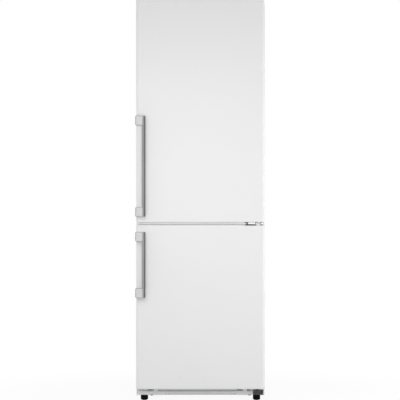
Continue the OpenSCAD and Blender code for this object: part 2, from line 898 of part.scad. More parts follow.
// Panel in front of the evaporator, with the fan's round mouth and a return slot
module evaporator_cover() {
    slot_inset = 62.5;
    slot_h = 14;
    mouth = 2;
    half = freezer_half - clear;
    low = z_step + clear;
    high = z_freezer_top - clear;
    color("white") {
        difference() {
            wide(half, y_cover, y_cover + cover_t, low, high);
            rod_y(0, z_fan, y_cover - cut, y_cover + cover_t + cut, fan_r - mouth);
            wide(half - slot_inset, y_cover - cut, y_cover + cover_t + cut,
                z_step + 2 * slot_h, z_step + 3 * slot_h);
        }
        for (side = [-1, 1]) on_side(side) block(half - cover_t, half, y_cover, y_room_back, low, high);
    }
}

// Motor of the evaporator fan on its strap across the back wall
module fan_motor() {
    color("dimgray") difference() {
        union() {
            rod_y(0, z_fan, y_fan + fan_d + clear, y_fan + fan_d + motor_d, motor_r);
            wide(2 * motor_r, y_fan + fan_d + motor_d - join, y_room_back,
                z_fan - motor_r / 2, z_fan + motor_r / 2);
        }
        rod_y(0, z_fan, y_fan, y_fan + fan_d + motor_d / 2 + clear, fan_shaft_r + pin_fit);
    }
}

// Fan with a hub, a shaft and leaning blades
module evaporator_fan() {
    color("gray") {
        rod_y(0, z_fan, y_fan, y_fan + fan_d, motor_r - hub_step);
        rod_y(0, z_fan, y_fan, y_fan + fan_d + motor_d / 2, fan_shaft_r);
        translate([0, y_fan + fan_d / 2, z_fan]) for (i = [0:blade_count - 1])
            rotate([0, 360 * i / blade_count, 0]) rotate([0, 0, blade_lean])
                translate([-motor_r / 2, -blade_t / 2, motor_r / 2])
                    cube([motor_r, blade_t, fan_r - motor_r / 2 - hub_step]);
    }
}

// Closed round compressor with its feet and terminal box
module compressor() {
    dome = 16;
    edge = 5;
    leg = 88;
    leg_d = 43;
    leg_low = 3;
    leg_high = 2;
    mount_r = 8;
    mount_in = 10;
    box_out = 22;
    box_in = 14;
    box_half = 26;
    box_low = 33;
    box_high = 88;
    color("black") {
        translate([comp_x, comp_y, z_comp]) rotate_extrude() polygon([[0, 0], [comp_r - dome, 0],
            [comp_r - edge, edge], [comp_r, dome], [comp_r, comp_h - dome], [comp_r - edge, comp_h - edge],
            [comp_r - dome, comp_h], [0, comp_h]]);
        block(comp_x - leg, comp_x + leg, comp_y - leg_d, comp_y + leg_d,
            z_comp - leg_low, z_comp + leg_high);
        for (x = [-1, 1], y = [-1, 1])
            rod_z(comp_x + x * (leg - mount_in), comp_y + y * (leg_d - mount_in),
                z_base, z_comp - join, mount_r);
        block(comp_x - comp_r - box_out, comp_x - comp_r + box_in, comp_y - box_half, comp_y + box_half,
            z_comp + box_low, z_comp + box_high);
    }
}

// Condenser tube behind the foam, in upright runs with round bends
module condenser() {
    runs = 10;
    bend_r = 25;
    bend_steps = 6;
    lead = 50;
    rise = 60;
    drop = 90;
    low = z_niche + rise;
    high = z_top - drop;
    y = y_foam_back + pipe_r + seat_gap;
    start = -bend_r * (runs - 1);
    path = [for (i = [0:runs - 1]) let (x = start + 2 * bend_r * i, up = i % 2 == 0)
        each concat(
            i == 0 ? [[x, y, low - lead]] : [],
            up ? [[x, y, low], [x, y, high]] : [[x, y, high], [x, y, low]],
            i == runs - 1 ? [[x, y, low - lead]] : [for (k = [1:bend_steps - 1])
                let (a = 180 - 180 * k / bend_steps, out = bend_r * sin(a))
                [x + bend_r + bend_r * cos(a), y, up ? high + out : low - out]])];
    color("black") pipe(path, pipe_r, [0, 1, 0]);
}

// Tray on the compressor that catches the melted frost
module drip_tray() {
    z = z_comp + comp_h;
    color("white") tray(comp_x - tray_r, comp_x + tray_r, comp_y - tray_r, comp_y + tray_r,
        z, z + tray_h, bin_wall);
}

// Socket for the mains lead on a post of the base plate
module mains_inlet() {
    socket_d = 16;
    rim = 4;
    half = inlet_w / 2;
    y0 = y_back - 2 * inlet_d;
    y1 = y_back - inlet_d;
    color("black") difference() {
        union() {
            block(inlet_x - half, inlet_x + half, y0, y1, z_inlet, z_inlet + inlet_h);
            block(inlet_x - half / 2, inlet_x + half / 2, y0, y0 + bin_wall, z_base, z_inlet + join);
        }
        block(inlet_x - half / 2, inlet_x + half / 2, y1 - socket_d, y1 + cut,
            z_inlet + rim, z_inlet + inlet_h - rim);
    }
}

// Screwed foot with a bevelled pad and a hexagon under the cabinet
module foot(side) {
    color("black") on_side(side) {
        translate([foot_x, foot_y, 0]) rotate_extrude() polygon([[0, 0], [foot_flat, 0], [foot_r, foot_bevel],
            [foot_r, foot_h - 2 * foot_clear], [foot_r - foot_clear, foot_h - foot_clear],
            [stem_r, foot_h - foot_clear], [stem_r, stem_top], [0, stem_top]]);
    }
}

// Rear roller on the base frame's axle
module roller(side) {
    color("black") on_side(side) difference() {
        rod_x(roller_y, roller_r, roller_x - roller_w / 2, roller_x + roller_w / 2, roller_r);
        rod_x(roller_y, roller_r, roller_x - roller_w, roller_x + roller_w, axle_r + pin_fit);
    }
}

// Whole door body between two heights
module door_solid(z0, z1, inset) {
    translate([0, 0, z0]) linear_extrude(z1 - z0) polygon(door_outline(inset));
}

// Room round the top hinge's arm in the corner of the upper door
module hinge_pocket() {
    block(hinge_x - pocket_left, half_w + cut, hinge_y - pocket_front, y_door_back + cut,
        z_pocket, total_h + cut);
}

// Holes for the studs of the brackets on a handle that starts at z0
module handle_studs(z0, l, r, reach) {
    stud_root = 4;
    for (z = [z0 + bracket_h / 2, z0 + l - bracket_h / 2], end = [-1, 1])
        rod_y(bar_x - bracket_w / 2, z + end * bracket_h / 4, y_door - stud_root, y_door + reach, r);
}

// Steel skin, folded round the sides to the back
module door_skin(z0, z1) {
    difference() {
        door_solid(z0, z1, 0);
        door_solid(z0 - cut, z1 + cut, skin_t);
        wide(half_w - skin_return, y_door_back - 2 * liner_t, y_door_back + cut, z0 - cut, z1 + cut);
    }
}

// Inside of a door between two heights, up to the liner on its back
module door_fill(z0, z1) {
    intersection() {
        door_solid(z0, z1, skin_t);
        wide(half_w, y_door, y_door_back - liner_t, z0, z1);
    }
}

// Rubber seal round an opening, with a foot, a bellows and a magnet strip
module door_seal(z0, z1) {
    foot_t = 3;
    draw_in = 2.5;
    magnet_in = 1;
    y0 = y_door_back;
    y1 = y_door_back + seal_depth;
    upright_ring(seal_x, z0, z1, seal_w, y0, y0 + foot_t);
    upright_ring(seal_x - draw_in, z0 + draw_in, z1 - draw_in, seal_w - 2 * draw_in, y0, y1);
    upright_ring(seal_x - magnet_in, z0 + magnet_in, z1 - magnet_in, seal_w - 2 * magnet_in, y1 - foot_t, y1);
}

// Cover strip along the edge of a door in the gap between the doors
module gap_strip(z0, z1) {
    block(-half_w + front_r + seat_gap, hinge_x - strip_end,
        y_door + strip_setback, y_door_back - liner_t, z0, z1);
}

// Upright bar with a flat front and a slanting flank
module handle_bar(z0, l) {
    bevel = 2;
    flank = 8.5;
    color("silver") translate([0, 0, z0]) linear_extrude(l) polygon([
        [bar_x, y_bar_back], [bar_x, y_front + bevel], [bar_x + bevel, y_front], [bar_x + bar_flat, y_front],
        [bar_x + bar_w, y_front + flank], [bar_x + bar_w, y_bar_back]]);
}

// Bracket that wraps round the door's edge and holds the bar from the side and from behind
module handle_bracket(z0) {
    left = bar_x - bracket_w;
    round_r = 5;
    set_back = 1.5;
    tongue = 12;
    color("gainsboro") difference() {
        intersection() {
            translate([0, 0, z0]) linear_extrude(bracket_h) polygon(concat(
                [[bar_x + set_back, y_door], [left, y_door + front_r], [left, y_front + 2 * round_r]],
                arc(left + 2 * round_r, y_front + set_back + 2 * round_r, 2 * round_r, 180, 270),
                [[bar_x, y_front + set_back], [bar_x, y_bar_back], [bar_x + tongue, y_bar_back],
                [bar_x + tongue, y_bar_back + round_r], [bar_x + set_back, y_bar_back + 3 * round_r]]));
            translate([0, y_door_back, 0]) rotate([90, 0, 0])
                linear_extrude(handle_reach + door_t) polygon(concat(
                arc(left + round_r, z0 + round_r, round_r, 180, 270), [[0, z0], [0, z0 + bracket_h]],
                arc(left + round_r, z0 + bracket_h - round_r, round_r, 90, 180)));
        }
        door_solid(toe_h, total_h, 0);
    }
}

module handle_brackets(z0, l) {
    for (z = [z0, z0 + l - bracket_h]) handle_bracket(z);
    color("gainsboro") handle_studs(z0, l, screw_r, 3 * bin_wall);
}

module upper_door_skin() {
    color("white") difference() {
        door_skin(z_upper, total_h - top_rim);
        hinge_pocket();
        handle_studs(z_upper_bar, upper_handle_l, screw_hole_r, 4 * bin_wall);
    }
}

module upper_door_foam() {
    color("khaki") difference() {
        door_fill(z_upper + cap_plug, z_pocket - cap_plug);
        handle_studs(z_upper_bar, upper_handle_l, screw_hole_r, 4 * bin_wall);
    }
}

// End caps of the upper door, bored for the hinge pins
module upper_door_caps() {
    color("white") difference() {
        union() {
            door_fill(z_pocket - cap_plug, total_h - top_rim);
            door_solid(total_h - top_rim, total_h, 0);
            door_fill(z_upper, z_upper + cap_plug);
            gap_strip(z_upper - strip_h, z_upper);
        }
        hinge_pocket();
        rod_z(hinge_x, hinge_y, z_pocket - pin_depth - cut, z_pocket + cut, pin_r + pin_fit);
        rod_z(hinge_x, hinge_y, z_upper - cut, z_upper + pin_depth + cut, pin_r + pin_fit);
    }
}

// Liner of the upper door: a sheet with a raised rim and the lugs of the door shelves
module upper_door_liner() {
    color("whitesmoke") {
        difference() {
            union() {
                wide(half_w - skin_return, y_door_back - liner_t, y_door_back, z_upper, total_h - top_rim);
                upright_ring(dyke_x, z_dyke_low, z_dyke_high, dyke_w, y_door_back - join, y_dyke);
            }
            hinge_pocket();
            rod_x(y_lid_pin, z_lid_pin, -dyke_in - lug_w, dyke_in + lug_w, lid_pin_r + pin_fit);
        }
        for (z = [z_middle_bin, z_top_bin], side = [-1, 1]) on_side(side)
            block(dyke_in - lug_w, dyke_in + join, y_door_back - join, y_dyke - lug_end, z - lug_h, z);
    }
}

module upper_door_seal() {
    color("lightgray") door_seal(z_seal_rail_high, z_seal_top);
}

// Shelf on the door's liner, with a lower front
module door_shelf(z, height) {
    front_share = 0.3;
    front_drop = front_share * height;
    color("aliceblue") difference() {
        tray(-bin_half, bin_half, y_door_back + seat_gap, y_door_back + bin_d, z, z + height, bin_wall);
        wide(bin_half + cut, y_dyke + lug_end, y_door_back + bin_d + cut,
            z + height - front_drop, z + height + cut);
    }
}

// Hinged lid of the top door shelf, with pins in the liner's rim
module dairy_lid() {
    lip = 8;
    lid_t = 2.5;
    lip_gap = 0.5;
    half = bin_half - clear;
    y = y_door_back + bin_d + lip_gap;
    color("lightcyan") {
        wide(half, y_lid_pin - lid_back, y, z_lid_pin - lid_t / 2, z_lid_pin + lid_t / 2);
        wide(half, y, y + lid_t / 2, z_lid_pin - lip, z_lid_pin + lid_t / 2);
        rod_x(y_lid_pin, z_lid_pin, -dyke_in - lug_w + clear, dyke_in + lug_w - clear, lid_pin_r);
    }
}

module lower_door_skin() {
    color("white") difference() {
        door_skin(toe_h + toe_rim, z_lower_top);
        handle_studs(z_lower_bar, lower_handle_l, screw_hole_r, 4 * bin_wall);
    }
}

module lower_door_foam() {
    color("khaki") difference() {
        door_fill(toe_h + toe_rim + cap_plug, z_lower_top - cap_plug);
        handle_studs(z_lower_bar, lower_handle_l, screw_hole_r, 4 * bin_wall);
    }
}

// End caps of the lower door, bored for the hinge pins
module lower_door_caps() {
    color("white") difference() {
        union() {
            door_solid(toe_h, toe_h + toe_rim, 0);
            door_fill(toe_h + toe_rim, toe_h + toe_rim + cap_plug);
            door_fill(z_lower_top - cap_plug, z_lower_top);
            gap_strip(z_lower_top, z_lower_top + strip_h);
        }
        rod_z(hinge_x, hinge_y, toe_h - cut, toe_h + pin_depth + cut, pin_r + pin_fit);
        rod_z(hinge_x, hinge_y, z_lower_top - pin_depth - cut, z_lower_top + cut, pin_r + pin_fit);
    }
}

// Liner of the lower door, with a raised panel that reaches into the freezer
module lower_door_liner() {
    color("whitesmoke") {
        wide(half_w - skin_return, y_door_back - liner_t, y_door_back, toe_h + toe_rim, z_lower_top);
        wide(drawer_half, y_door_back - join, y_door_back + panel_rise,
            z_freezer_floor + panel_edge, z_freezer_top - panel_edge);
    }
}

module lower_door_seal() {
    color("lightgray") door_seal(z_seal_bottom, z_seal_rail_low);
}

module lower_handle() {
    handle_bar(z_lower_bar, lower_handle_l);
    handle_brackets(z_lower_bar, lower_handle_l);
}

side_panel(-1);  // side_panel_left
side_panel(1);  // side_panel_right
top_panel();
back_panel();
insulation();
fridge_liner();
freezer_liner();
centre_rail();
base_frame();
plinth();
top_hinge();
top_hinge_cover();
middle_hinge();
bottom_hinge();
hinge_screws();
glass_shelf(1);  // glass_shelf_1
glass_shelf(2);  // glass_shelf_2
glass_shelf(3);  // glass_shelf_3
glass_shelf(0);  // crisper_cover
air_duct();
control_housing();
light_lens();
freezer_shelf(z_low_shelf);  // freezer_shelf_low
freezer_shelf(z_high_shelf);  // freezer_shelf_high
evaporator();
evaporator_cover();
fan_motor();
compressor();
condenser();
drip_tray();
mains_inlet();
door_switch();
thermostat_knob();
evaporator_fan();
foot(-1);  // foot_left
foot(1);  // foot_right
roller(-1);  // roller_left
roller(1);  // roller_right
crisper(-1);  // crisper_left
crisper(1);  // crisper_right
freezer_drawer_top();
freezer_drawer_middle();
freezer_drawer_low();
upper_door_skin();
upper_door_foam();
upper_door_liner();
upper_door_seal();
upper_door_caps();
handle_bar(z_upper_bar, upper_handle_l);  // upper_handle_bar
handle_brackets(z_upper_bar, upper_handle_l);  // upper_handle_brackets
door_shelf(z_top_bin, bin_h);  // door_shelf_top
door_shelf(z_middle_bin, bin_h);  // door_shelf_middle
door_shelf(z_bottle_bin, bottle_bin_h);  // bottle_shelf
dairy_lid();
lower_door_skin();
lower_door_foam();
lower_door_liner();
lower_door_seal();
lower_door_caps();
lower_handle();
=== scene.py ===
"""Dressed model of a two-door refrigerator with a bottom freezer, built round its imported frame."""

import json
import logging
import math
from collections.abc import Callable, Mapping, Sequence
from dataclasses import dataclass
from enum import Enum
from functools import lru_cache

import bmesh
import bpy
from mathutils import Matrix, Vector

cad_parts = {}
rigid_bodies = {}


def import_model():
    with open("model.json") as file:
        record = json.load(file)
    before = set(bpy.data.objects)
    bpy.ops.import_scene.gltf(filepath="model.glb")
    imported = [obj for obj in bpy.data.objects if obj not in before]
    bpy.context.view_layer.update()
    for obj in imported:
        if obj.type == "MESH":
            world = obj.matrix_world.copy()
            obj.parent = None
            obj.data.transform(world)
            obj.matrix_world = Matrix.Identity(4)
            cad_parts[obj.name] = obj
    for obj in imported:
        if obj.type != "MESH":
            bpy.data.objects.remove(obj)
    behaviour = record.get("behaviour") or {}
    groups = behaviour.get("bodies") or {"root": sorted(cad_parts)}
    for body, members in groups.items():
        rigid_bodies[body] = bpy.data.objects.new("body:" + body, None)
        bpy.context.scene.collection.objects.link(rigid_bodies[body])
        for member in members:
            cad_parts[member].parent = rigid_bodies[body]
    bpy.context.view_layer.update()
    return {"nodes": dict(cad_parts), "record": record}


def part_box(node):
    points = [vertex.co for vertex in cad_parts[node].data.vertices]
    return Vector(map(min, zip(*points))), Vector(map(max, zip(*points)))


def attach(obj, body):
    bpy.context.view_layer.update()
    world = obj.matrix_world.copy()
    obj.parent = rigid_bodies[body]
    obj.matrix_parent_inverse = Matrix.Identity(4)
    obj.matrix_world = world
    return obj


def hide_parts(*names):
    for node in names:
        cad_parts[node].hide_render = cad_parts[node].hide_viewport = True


for leftover in list(bpy.data.objects):
    bpy.data.objects.remove(leftover)

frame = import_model()

LOG = logging.getLogger("refrigerator")

# A millimetre in metres.
MM = 0.001

Point = tuple[float, float, float]
Flat = tuple[float, float]
Tone = tuple[float, float, float]
Ring = list[Point]

# Axis on which both doors hang.
HINGE_X = 265.0
HINGE_Y = -264.5

# Angles in degrees. Edges sharper than the first are bevelled, and sharper than the second shaded sharp.
SHARP_EDGE = 25.0
SHARP_SHADE = 40.0


class Axis(Enum):
    """Direction in which an outline is drawn out or a profile is turned."""

    X = 0
    Y = 1
    Z = 2


class Body(Enum):
    """Body of the frame that a piece rides on."""

    CABINET = "cabinet"
    UPPER_DOOR = "upper_door"
    LOWER_DOOR = "lower_door"
    DAIRY_LID = "dairy_lid"
    SWITCH = "door_switch"
    KNOB = "thermostat_knob"
    CRISPER_LEFT = "crisper_left"
    CRISPER_RIGHT = "crisper_right"
    DRAWER_TOP = "freezer_drawer_top"
    DRAWER_MIDDLE = "freezer_drawer_middle"
    DRAWER_LOW = "freezer_drawer_low"
    FAN = "evaporator_fan"
    FOOT_LEFT = "foot_left"
    FOOT_RIGHT = "foot_right"
    ROLLER_LEFT = "roller_left"
    ROLLER_RIGHT = "roller_right"


class Signal:
    """Output socket of a shader graph, on which arithmetic adds Math nodes."""

    def __init__(self, graph: "Graph", socket: bpy.types.NodeSocket) -> None:
        """Keep the graph and its socket."""
        self.graph = graph
        self.socket = socket

    def _math(self, operation: str, first: "Signal | float", second: "Signal | float") -> "Signal":
        """Add one Math node for two values."""
        return self.graph.node("Math", {"operation": operation}, {0: first, 1: second})

    def __add__(self, other: "Signal | float") -> "Signal":
        """Sum."""
        return self._math("ADD", self, other)

    __radd__ = __add__

    def __sub__(self, other: "Signal | float") -> "Signal":
        """Difference."""
        return self._math("SUBTRACT", self, other)

    def __rsub__(self, other: float) -> "Signal":
        """Difference, from a plain number."""
        return self._math("SUBTRACT", other, self)

    def __mul__(self, other: "Signal | float") -> "Signal":
        """Product."""
        return self._math("MULTIPLY", self, other)

    __rmul__ = __mul__

    def __gt__(self, other: "Signal | float") -> "Signal":
        """1 where the value is greater, else 0."""
        return self._math("GREATER_THAN", self, other)

    def clamped(self, low: float, high: float) -> "Signal":
        """Smooth step from 0 at low to 1 at high."""
        return self.graph.node(
            "MapRange", {"interpolation_type": "SMOOTHSTEP"},
            {"Value": self, "From Min": low, "From Max": high})


class Graph:
    """Node graph of one material."""

    def __init__(self, tree: bpy.types.NodeTree) -> None:
        """Start from an empty graph."""
        self.tree = tree
        self.tree.nodes.clear()

    def node(
        self,
        kind: str,
        settings: Mapping[str, object] | None = None,
        inputs: Mapping[str | int, object] | None = None,
        output: str | int = 0,
    ) -> Signal:
        """Add one node.

        Args:
            kind: Blender's name of the node type, without "ShaderNode" before it.
            settings: Properties set before the sockets, with "stops" for a ramp's positions and values.
            inputs: Values or signals of the input sockets, by name or number.
            output: Name or number of the output socket to return.

        Returns:
            The chosen output.
        """
        made = self.tree.nodes.new("ShaderNode" + kind)
        for key, value in (settings or {}).items():
            if key == "stops":
                self._set_stops(made.color_ramp, value)
            else:
                setattr(made, key, value)
        for key, value in (inputs or {}).items():
            if isinstance(value, Signal):
                self.tree.links.new(value.socket, made.inputs[key])
            else:
                made.inputs[key].default_value = value
        return Signal(self, made.outputs[output])

    @staticmethod
    def _set_stops(ramp: bpy.types.ColorRamp, stops: Sequence[tuple[float, float]]) -> None:
        """Give a ramp its grey stops, as positions and values."""
        while len(ramp.elements) < len(stops):
            ramp.elements.new(1.0)
        for element, (position, value) in zip(ramp.elements, stops):
            element.position = position
            element.color = (value, value, value, 1.0)

    def place(self, stretch: Point = (1.0, 1.0, 1.0)) -> Signal:
        """Point on the resting object in metres, stretched along each axis.

        Args:
            stretch: Factor along each axis.

        Returns:
            The point.
        """
        here = self.node("TexCoord", output="Object")
        if stretch == (1.0, 1.0, 1.0):
            return here
        return self.node("VectorMath", {"operation": "MULTIPLY"}, {0: here, 1: stretch})

    def noise(self, scale: float, detail: float = 2.0, stretch: Point = (1.0, 1.0, 1.0)) -> Signal:
        """Soft noise around one half, with its features a metre over scale wide."""
        return self.node(
            "TexNoise", inputs={"Vector": self.place(stretch), "Scale": scale, "Detail": detail})

    def cells(self, scale: float, output: str = "Distance") -> Signal:
        """Cell pattern, as distances or as one colour for each cell."""
        return self.node("TexVoronoi", inputs={"Vector": self.place(), "Scale": scale}, output=output)

    def height(self) -> Signal:
        """Height above the floor in metres."""
        return self.node("SeparateXYZ", inputs={0: self.place()}, output=2)

    def upward(self) -> Signal:
        """How far the surface faces up, from 0 to 1."""
        normal = self.node("NewGeometry", output="Normal")
        return self.node("SeparateXYZ", inputs={0: normal}, output=2).clamped(0.5, 1.0)

    def mix(
        self, factor: Signal | float, first: "Tone | float | Signal", second: "Tone | float | Signal"
    ) -> Signal:
        """Mix two colours.

        Args:
            factor: Share of the second.
            first: One colour.
            second: The other.

        Returns:
            The mixed colour.
        """
        return self.node(
            "Mix", {"data_type": "RGBA"}, {0: factor, 6: rgba(first), 7: rgba(second)}, output=2)

    def soft_edge(self, radius: float) -> Signal:
        """Normal that rounds the edges by a radius in millimetres."""
        return self.node("Bevel", {"samples": 4}, {"Radius": radius * MM})

    def bump(self, relief: Signal, strength: float, depth: float, under: Signal | None = None) -> Signal:
        """Normal bent by a relief of a depth in millimetres, on top of another normal.

        Args:
            relief: Height of the relief, from 0 to 1.
            strength: Strength of the bump.
            depth: Depth of the relief.
            under: The other normal.

        Returns:
            The bent normal.
        """
        inputs: dict[str | int, object] = {"Strength": strength, "Distance": depth * MM, "Height": relief}
        if under is not None:
            inputs["Normal"] = under
        return self.node("Bump", inputs=inputs)

    def close(self, surface: Signal, kind: str = "OutputMaterial") -> None:
        """Lead a shader to an output node of a kind."""
        made = self.tree.nodes.new("ShaderNode" + kind)
        self.tree.links.new(surface.socket, made.inputs["Surface"])


def rgba(tone: "Tone | float | Signal") -> "tuple[float, ...] | Signal":
    """Colour with its alpha.

    Args:
        tone: A grey, a triple, or a signal, which stays as it is.

    Returns:
        The colour.
    """
    if isinstance(tone, Signal):
        return tone
    if isinstance(tone, float):
        return (tone, tone, tone, 1.0)
    return (*tone, 1.0)


@dataclass(frozen=True)
class Finish:
    """Surface finish of one kind of material, with its grain, clouds, dust and rounded edges."""

    name: str
    tone: Tone
    roughness: float = 0.4
    smear: float = 0.06
    smear_scale: float = 9.0
    cloud: float = 0.02
    cloud_scale: float = 5.0
    grain: float = 0.1
    grain_scale: float = 900.0
    grain_depth: float = 0.05
    stretch: Point = (1.0, 1.0, 1.0)
    edge: float = 0.6
    dust: float = 0.0
    dust_tone: Tone = (0.42, 0.4, 0.37)
    dust_scale: float = 35.0
    metallic: float = 0.0
    coat: float = 0.0
    coat_roughness: float = 0.12
    transmission: float = 0.0
    ior: float = 1.5
    subsurface: float = 0.0
    specular: float = 0.5

    def colour(self, graph: Graph) -> Signal:
        """Colour, a little darker and lighter in broad clouds and dusty on the faces that look up.

        Args:
            graph: Graph that the nodes go into.

        Returns:
            The colour.
        """
        dark = tuple(channel * (1.0 - 2.0 * self.cloud) for channel in self.tone)
        light = tuple(min(1.0, channel * (1.0 + self.cloud)) for channel in self.tone)
        base = graph.mix(graph.noise(self.cloud_scale, 3.0), dark, light)
        if not self.dust:
            return base
        dust = graph.upward() * graph.noise(self.dust_scale, 4.0) * self.dust
        return graph.mix(dust, base, self.dust_tone)

    def rough(self, graph: Graph) -> Signal:
        """Roughness, with faint smears."""
        return graph.noise(
            self.smear_scale, 3.0, self.stretch) * (2.0 * self.smear) + (self.roughness - self.smear)

    def relief(self, graph: Graph) -> Signal:
        """Height of the fine grain."""
        return graph.noise(self.grain_scale, 2.0, self.stretch)

    def normal(self, graph: Graph) -> Signal:
        """Normal, with rounded edges and the grain."""
        under = graph.soft_edge(self.edge) if self.edge else None
        return graph.bump(self.relief(graph), self.grain, self.grain_depth, under)

    def shader(self, graph: Graph) -> Signal:
        """Principled shader of the finish.

        Args:
            graph: Graph that the nodes go into.

        Returns:
            The shader.
        """
        return graph.node(
            "BsdfPrincipled", inputs={"Base Color": self.colour(graph), "Roughness": self.rough(graph),
                                      "Metallic": self.metallic, "IOR": self.ior,
                                      "Specular IOR Level": self.specular, "Coat Weight": self.coat,
                                      "Coat Roughness": self.coat_roughness,
                                      "Transmission Weight": self.transmission,
                                      "Subsurface Weight": self.subsurface, "Normal": self.normal(graph)})

    @lru_cache(maxsize=None)
    def material(self) -> bpy.types.Material:
        """Material of the finish, made once.

        Returns:
            The material.
        """
        made = bpy.data.materials.new(self.name)
        made.use_nodes = True
        graph = Graph(made.node_tree)
        graph.close(self.shader(graph))
        return made


@dataclass(frozen=True)
class Enamel(Finish):
    """Powder-coated sheet: even, with a fine orange peel under a thin gloss and scuffs near the floor."""

    scuff: float = 0.12
    scuff_low: float = 0.03
    scuff_top: float = 0.22
    scuff_tone: Tone = (0.45, 0.44, 0.43)

    def relief(self, graph: Graph) -> Signal:
        """Orange peel: soft dimples with a finer grain on them."""
        return graph.noise(self.grain_scale, 1.0) + graph.noise(self.grain_scale * 0.3, 1.0) * 0.6

    def colour(self, graph: Graph) -> Signal:
        """White with faint clouds, and scuffs where shoes and brooms reach.

        Args:
            graph: Graph that the nodes go into.

        Returns:
            The colour.
        """
        base = super().colour(graph)
        reach = 1.0 - graph.height().clamped(self.scuff_low, self.scuff_top)
        marks = graph.noise(60.0, 5.0, (1.0, 1.0, 0.25)).clamped(0.62, 0.75)
        return graph.mix(reach * marks * self.scuff, base, self.scuff_tone)


@dataclass(frozen=True)
class Brushed(Finish):
    """Metal brushed along one axis."""

    line_scale: float = 260.0
    line_dark: float = 0.88
    line_light: float = 1.1

    def colour(self, graph: Graph) -> Signal:
        """Colour with fine lighter and darker brush lines.

        Args:
            graph: Graph that the nodes go into.

        Returns:
            The colour.
        """
        lines = graph.noise(self.line_scale, 4.0, self.stretch)
        dark = tuple(channel * self.line_dark for channel in self.tone)
        light = tuple(min(1.0, channel * self.line_light) for channel in self.tone)
        return graph.mix(lines.clamped(0.3, 0.7), dark, light)

    def relief(self, graph: Graph) -> Signal:
        """Brush lines."""
        return graph.noise(self.grain_scale, 3.0, self.stretch)


@dataclass(frozen=True)
class Spangled(Finish):
    """Galvanised sheet with its zinc flowers."""

    flower_scale: float = 90.0
    flower_dark: float = 0.82
    flower_gloss: float = 0.22

    def colour(self, graph: Graph) -> Signal:
        """Each flower a little lighter or darker.

        Args:
            graph: Graph that the nodes go into.

        Returns:
            The colour.
        """
        flower = graph.cells(self.flower_scale, "Color")
        grey = graph.node("RGBToBW", inputs={0: flower})
        dark = tuple(channel * self.flower_dark for channel in self.tone)
        return graph.mix(grey, dark, self.tone)

    def rough(self, graph: Graph) -> Signal:
        """Each flower of its own gloss."""
        flower = graph.cells(self.flower_scale, "Color")
        return graph.node("RGBToBW", inputs={0: flower}) * self.flower_gloss + (self.roughness - 0.1)


@dataclass(frozen=True)
class Moulded(Finish):
    """Injection-moulded plastic with a spark-eroded grain and faint flow marks."""

    def relief(self, graph: Graph) -> Signal:
        """Tiny pits of the tool's grain."""
        return graph.cells(self.grain_scale) + graph.noise(self.grain_scale * 0.5, 2.0) * 0.5

    def rough(self, graph: Graph) -> Signal:
        """Roughness with flow marks."""
        flow = graph.noise(self.smear_scale, 4.0, (1.0, 1.0, 0.35))
        return flow * (2.0 * self.smear) + (self.roughness - self.smear)


@dataclass(frozen=True)
class Clear(Finish):
    """Clear plastic or glass with fine scratches and finger marks."""

    scratch: float = 0.12

    def rough(self, graph: Graph) -> Signal:
        """Smooth, apart from scratches and prints.

        Args:
            graph: Graph that the nodes go into.

        Returns:
            The roughness.
        """
        scratches = graph.noise(420.0, 2.0, (1.0, 0.05, 1.0)).clamped(0.66, 0.78)
        prints = graph.noise(18.0, 4.0).clamped(0.55, 0.8)
        return scratches * self.scratch + prints * self.smear + self.roughness


@dataclass(frozen=True)
class Cellular(Finish):
    """Rigid foam with open cells on its skin."""

    def relief(self, graph: Graph) -> Signal:
        """Cells of two sizes."""
        return graph.cells(self.grain_scale) + graph.cells(self.grain_scale * 0.4)


@dataclass(frozen=True)
class Tarnished(Finish):
    """Copper tube with darker tarnish."""

    tarnish: Tone = (0.28, 0.13, 0.07)

    def colour(self, graph: Graph) -> Signal:
        """Bright and tarnished copper in patches."""
        return graph.mix(graph.noise(45.0, 5.0).clamped(0.42, 0.68), self.tone, self.tarnish)


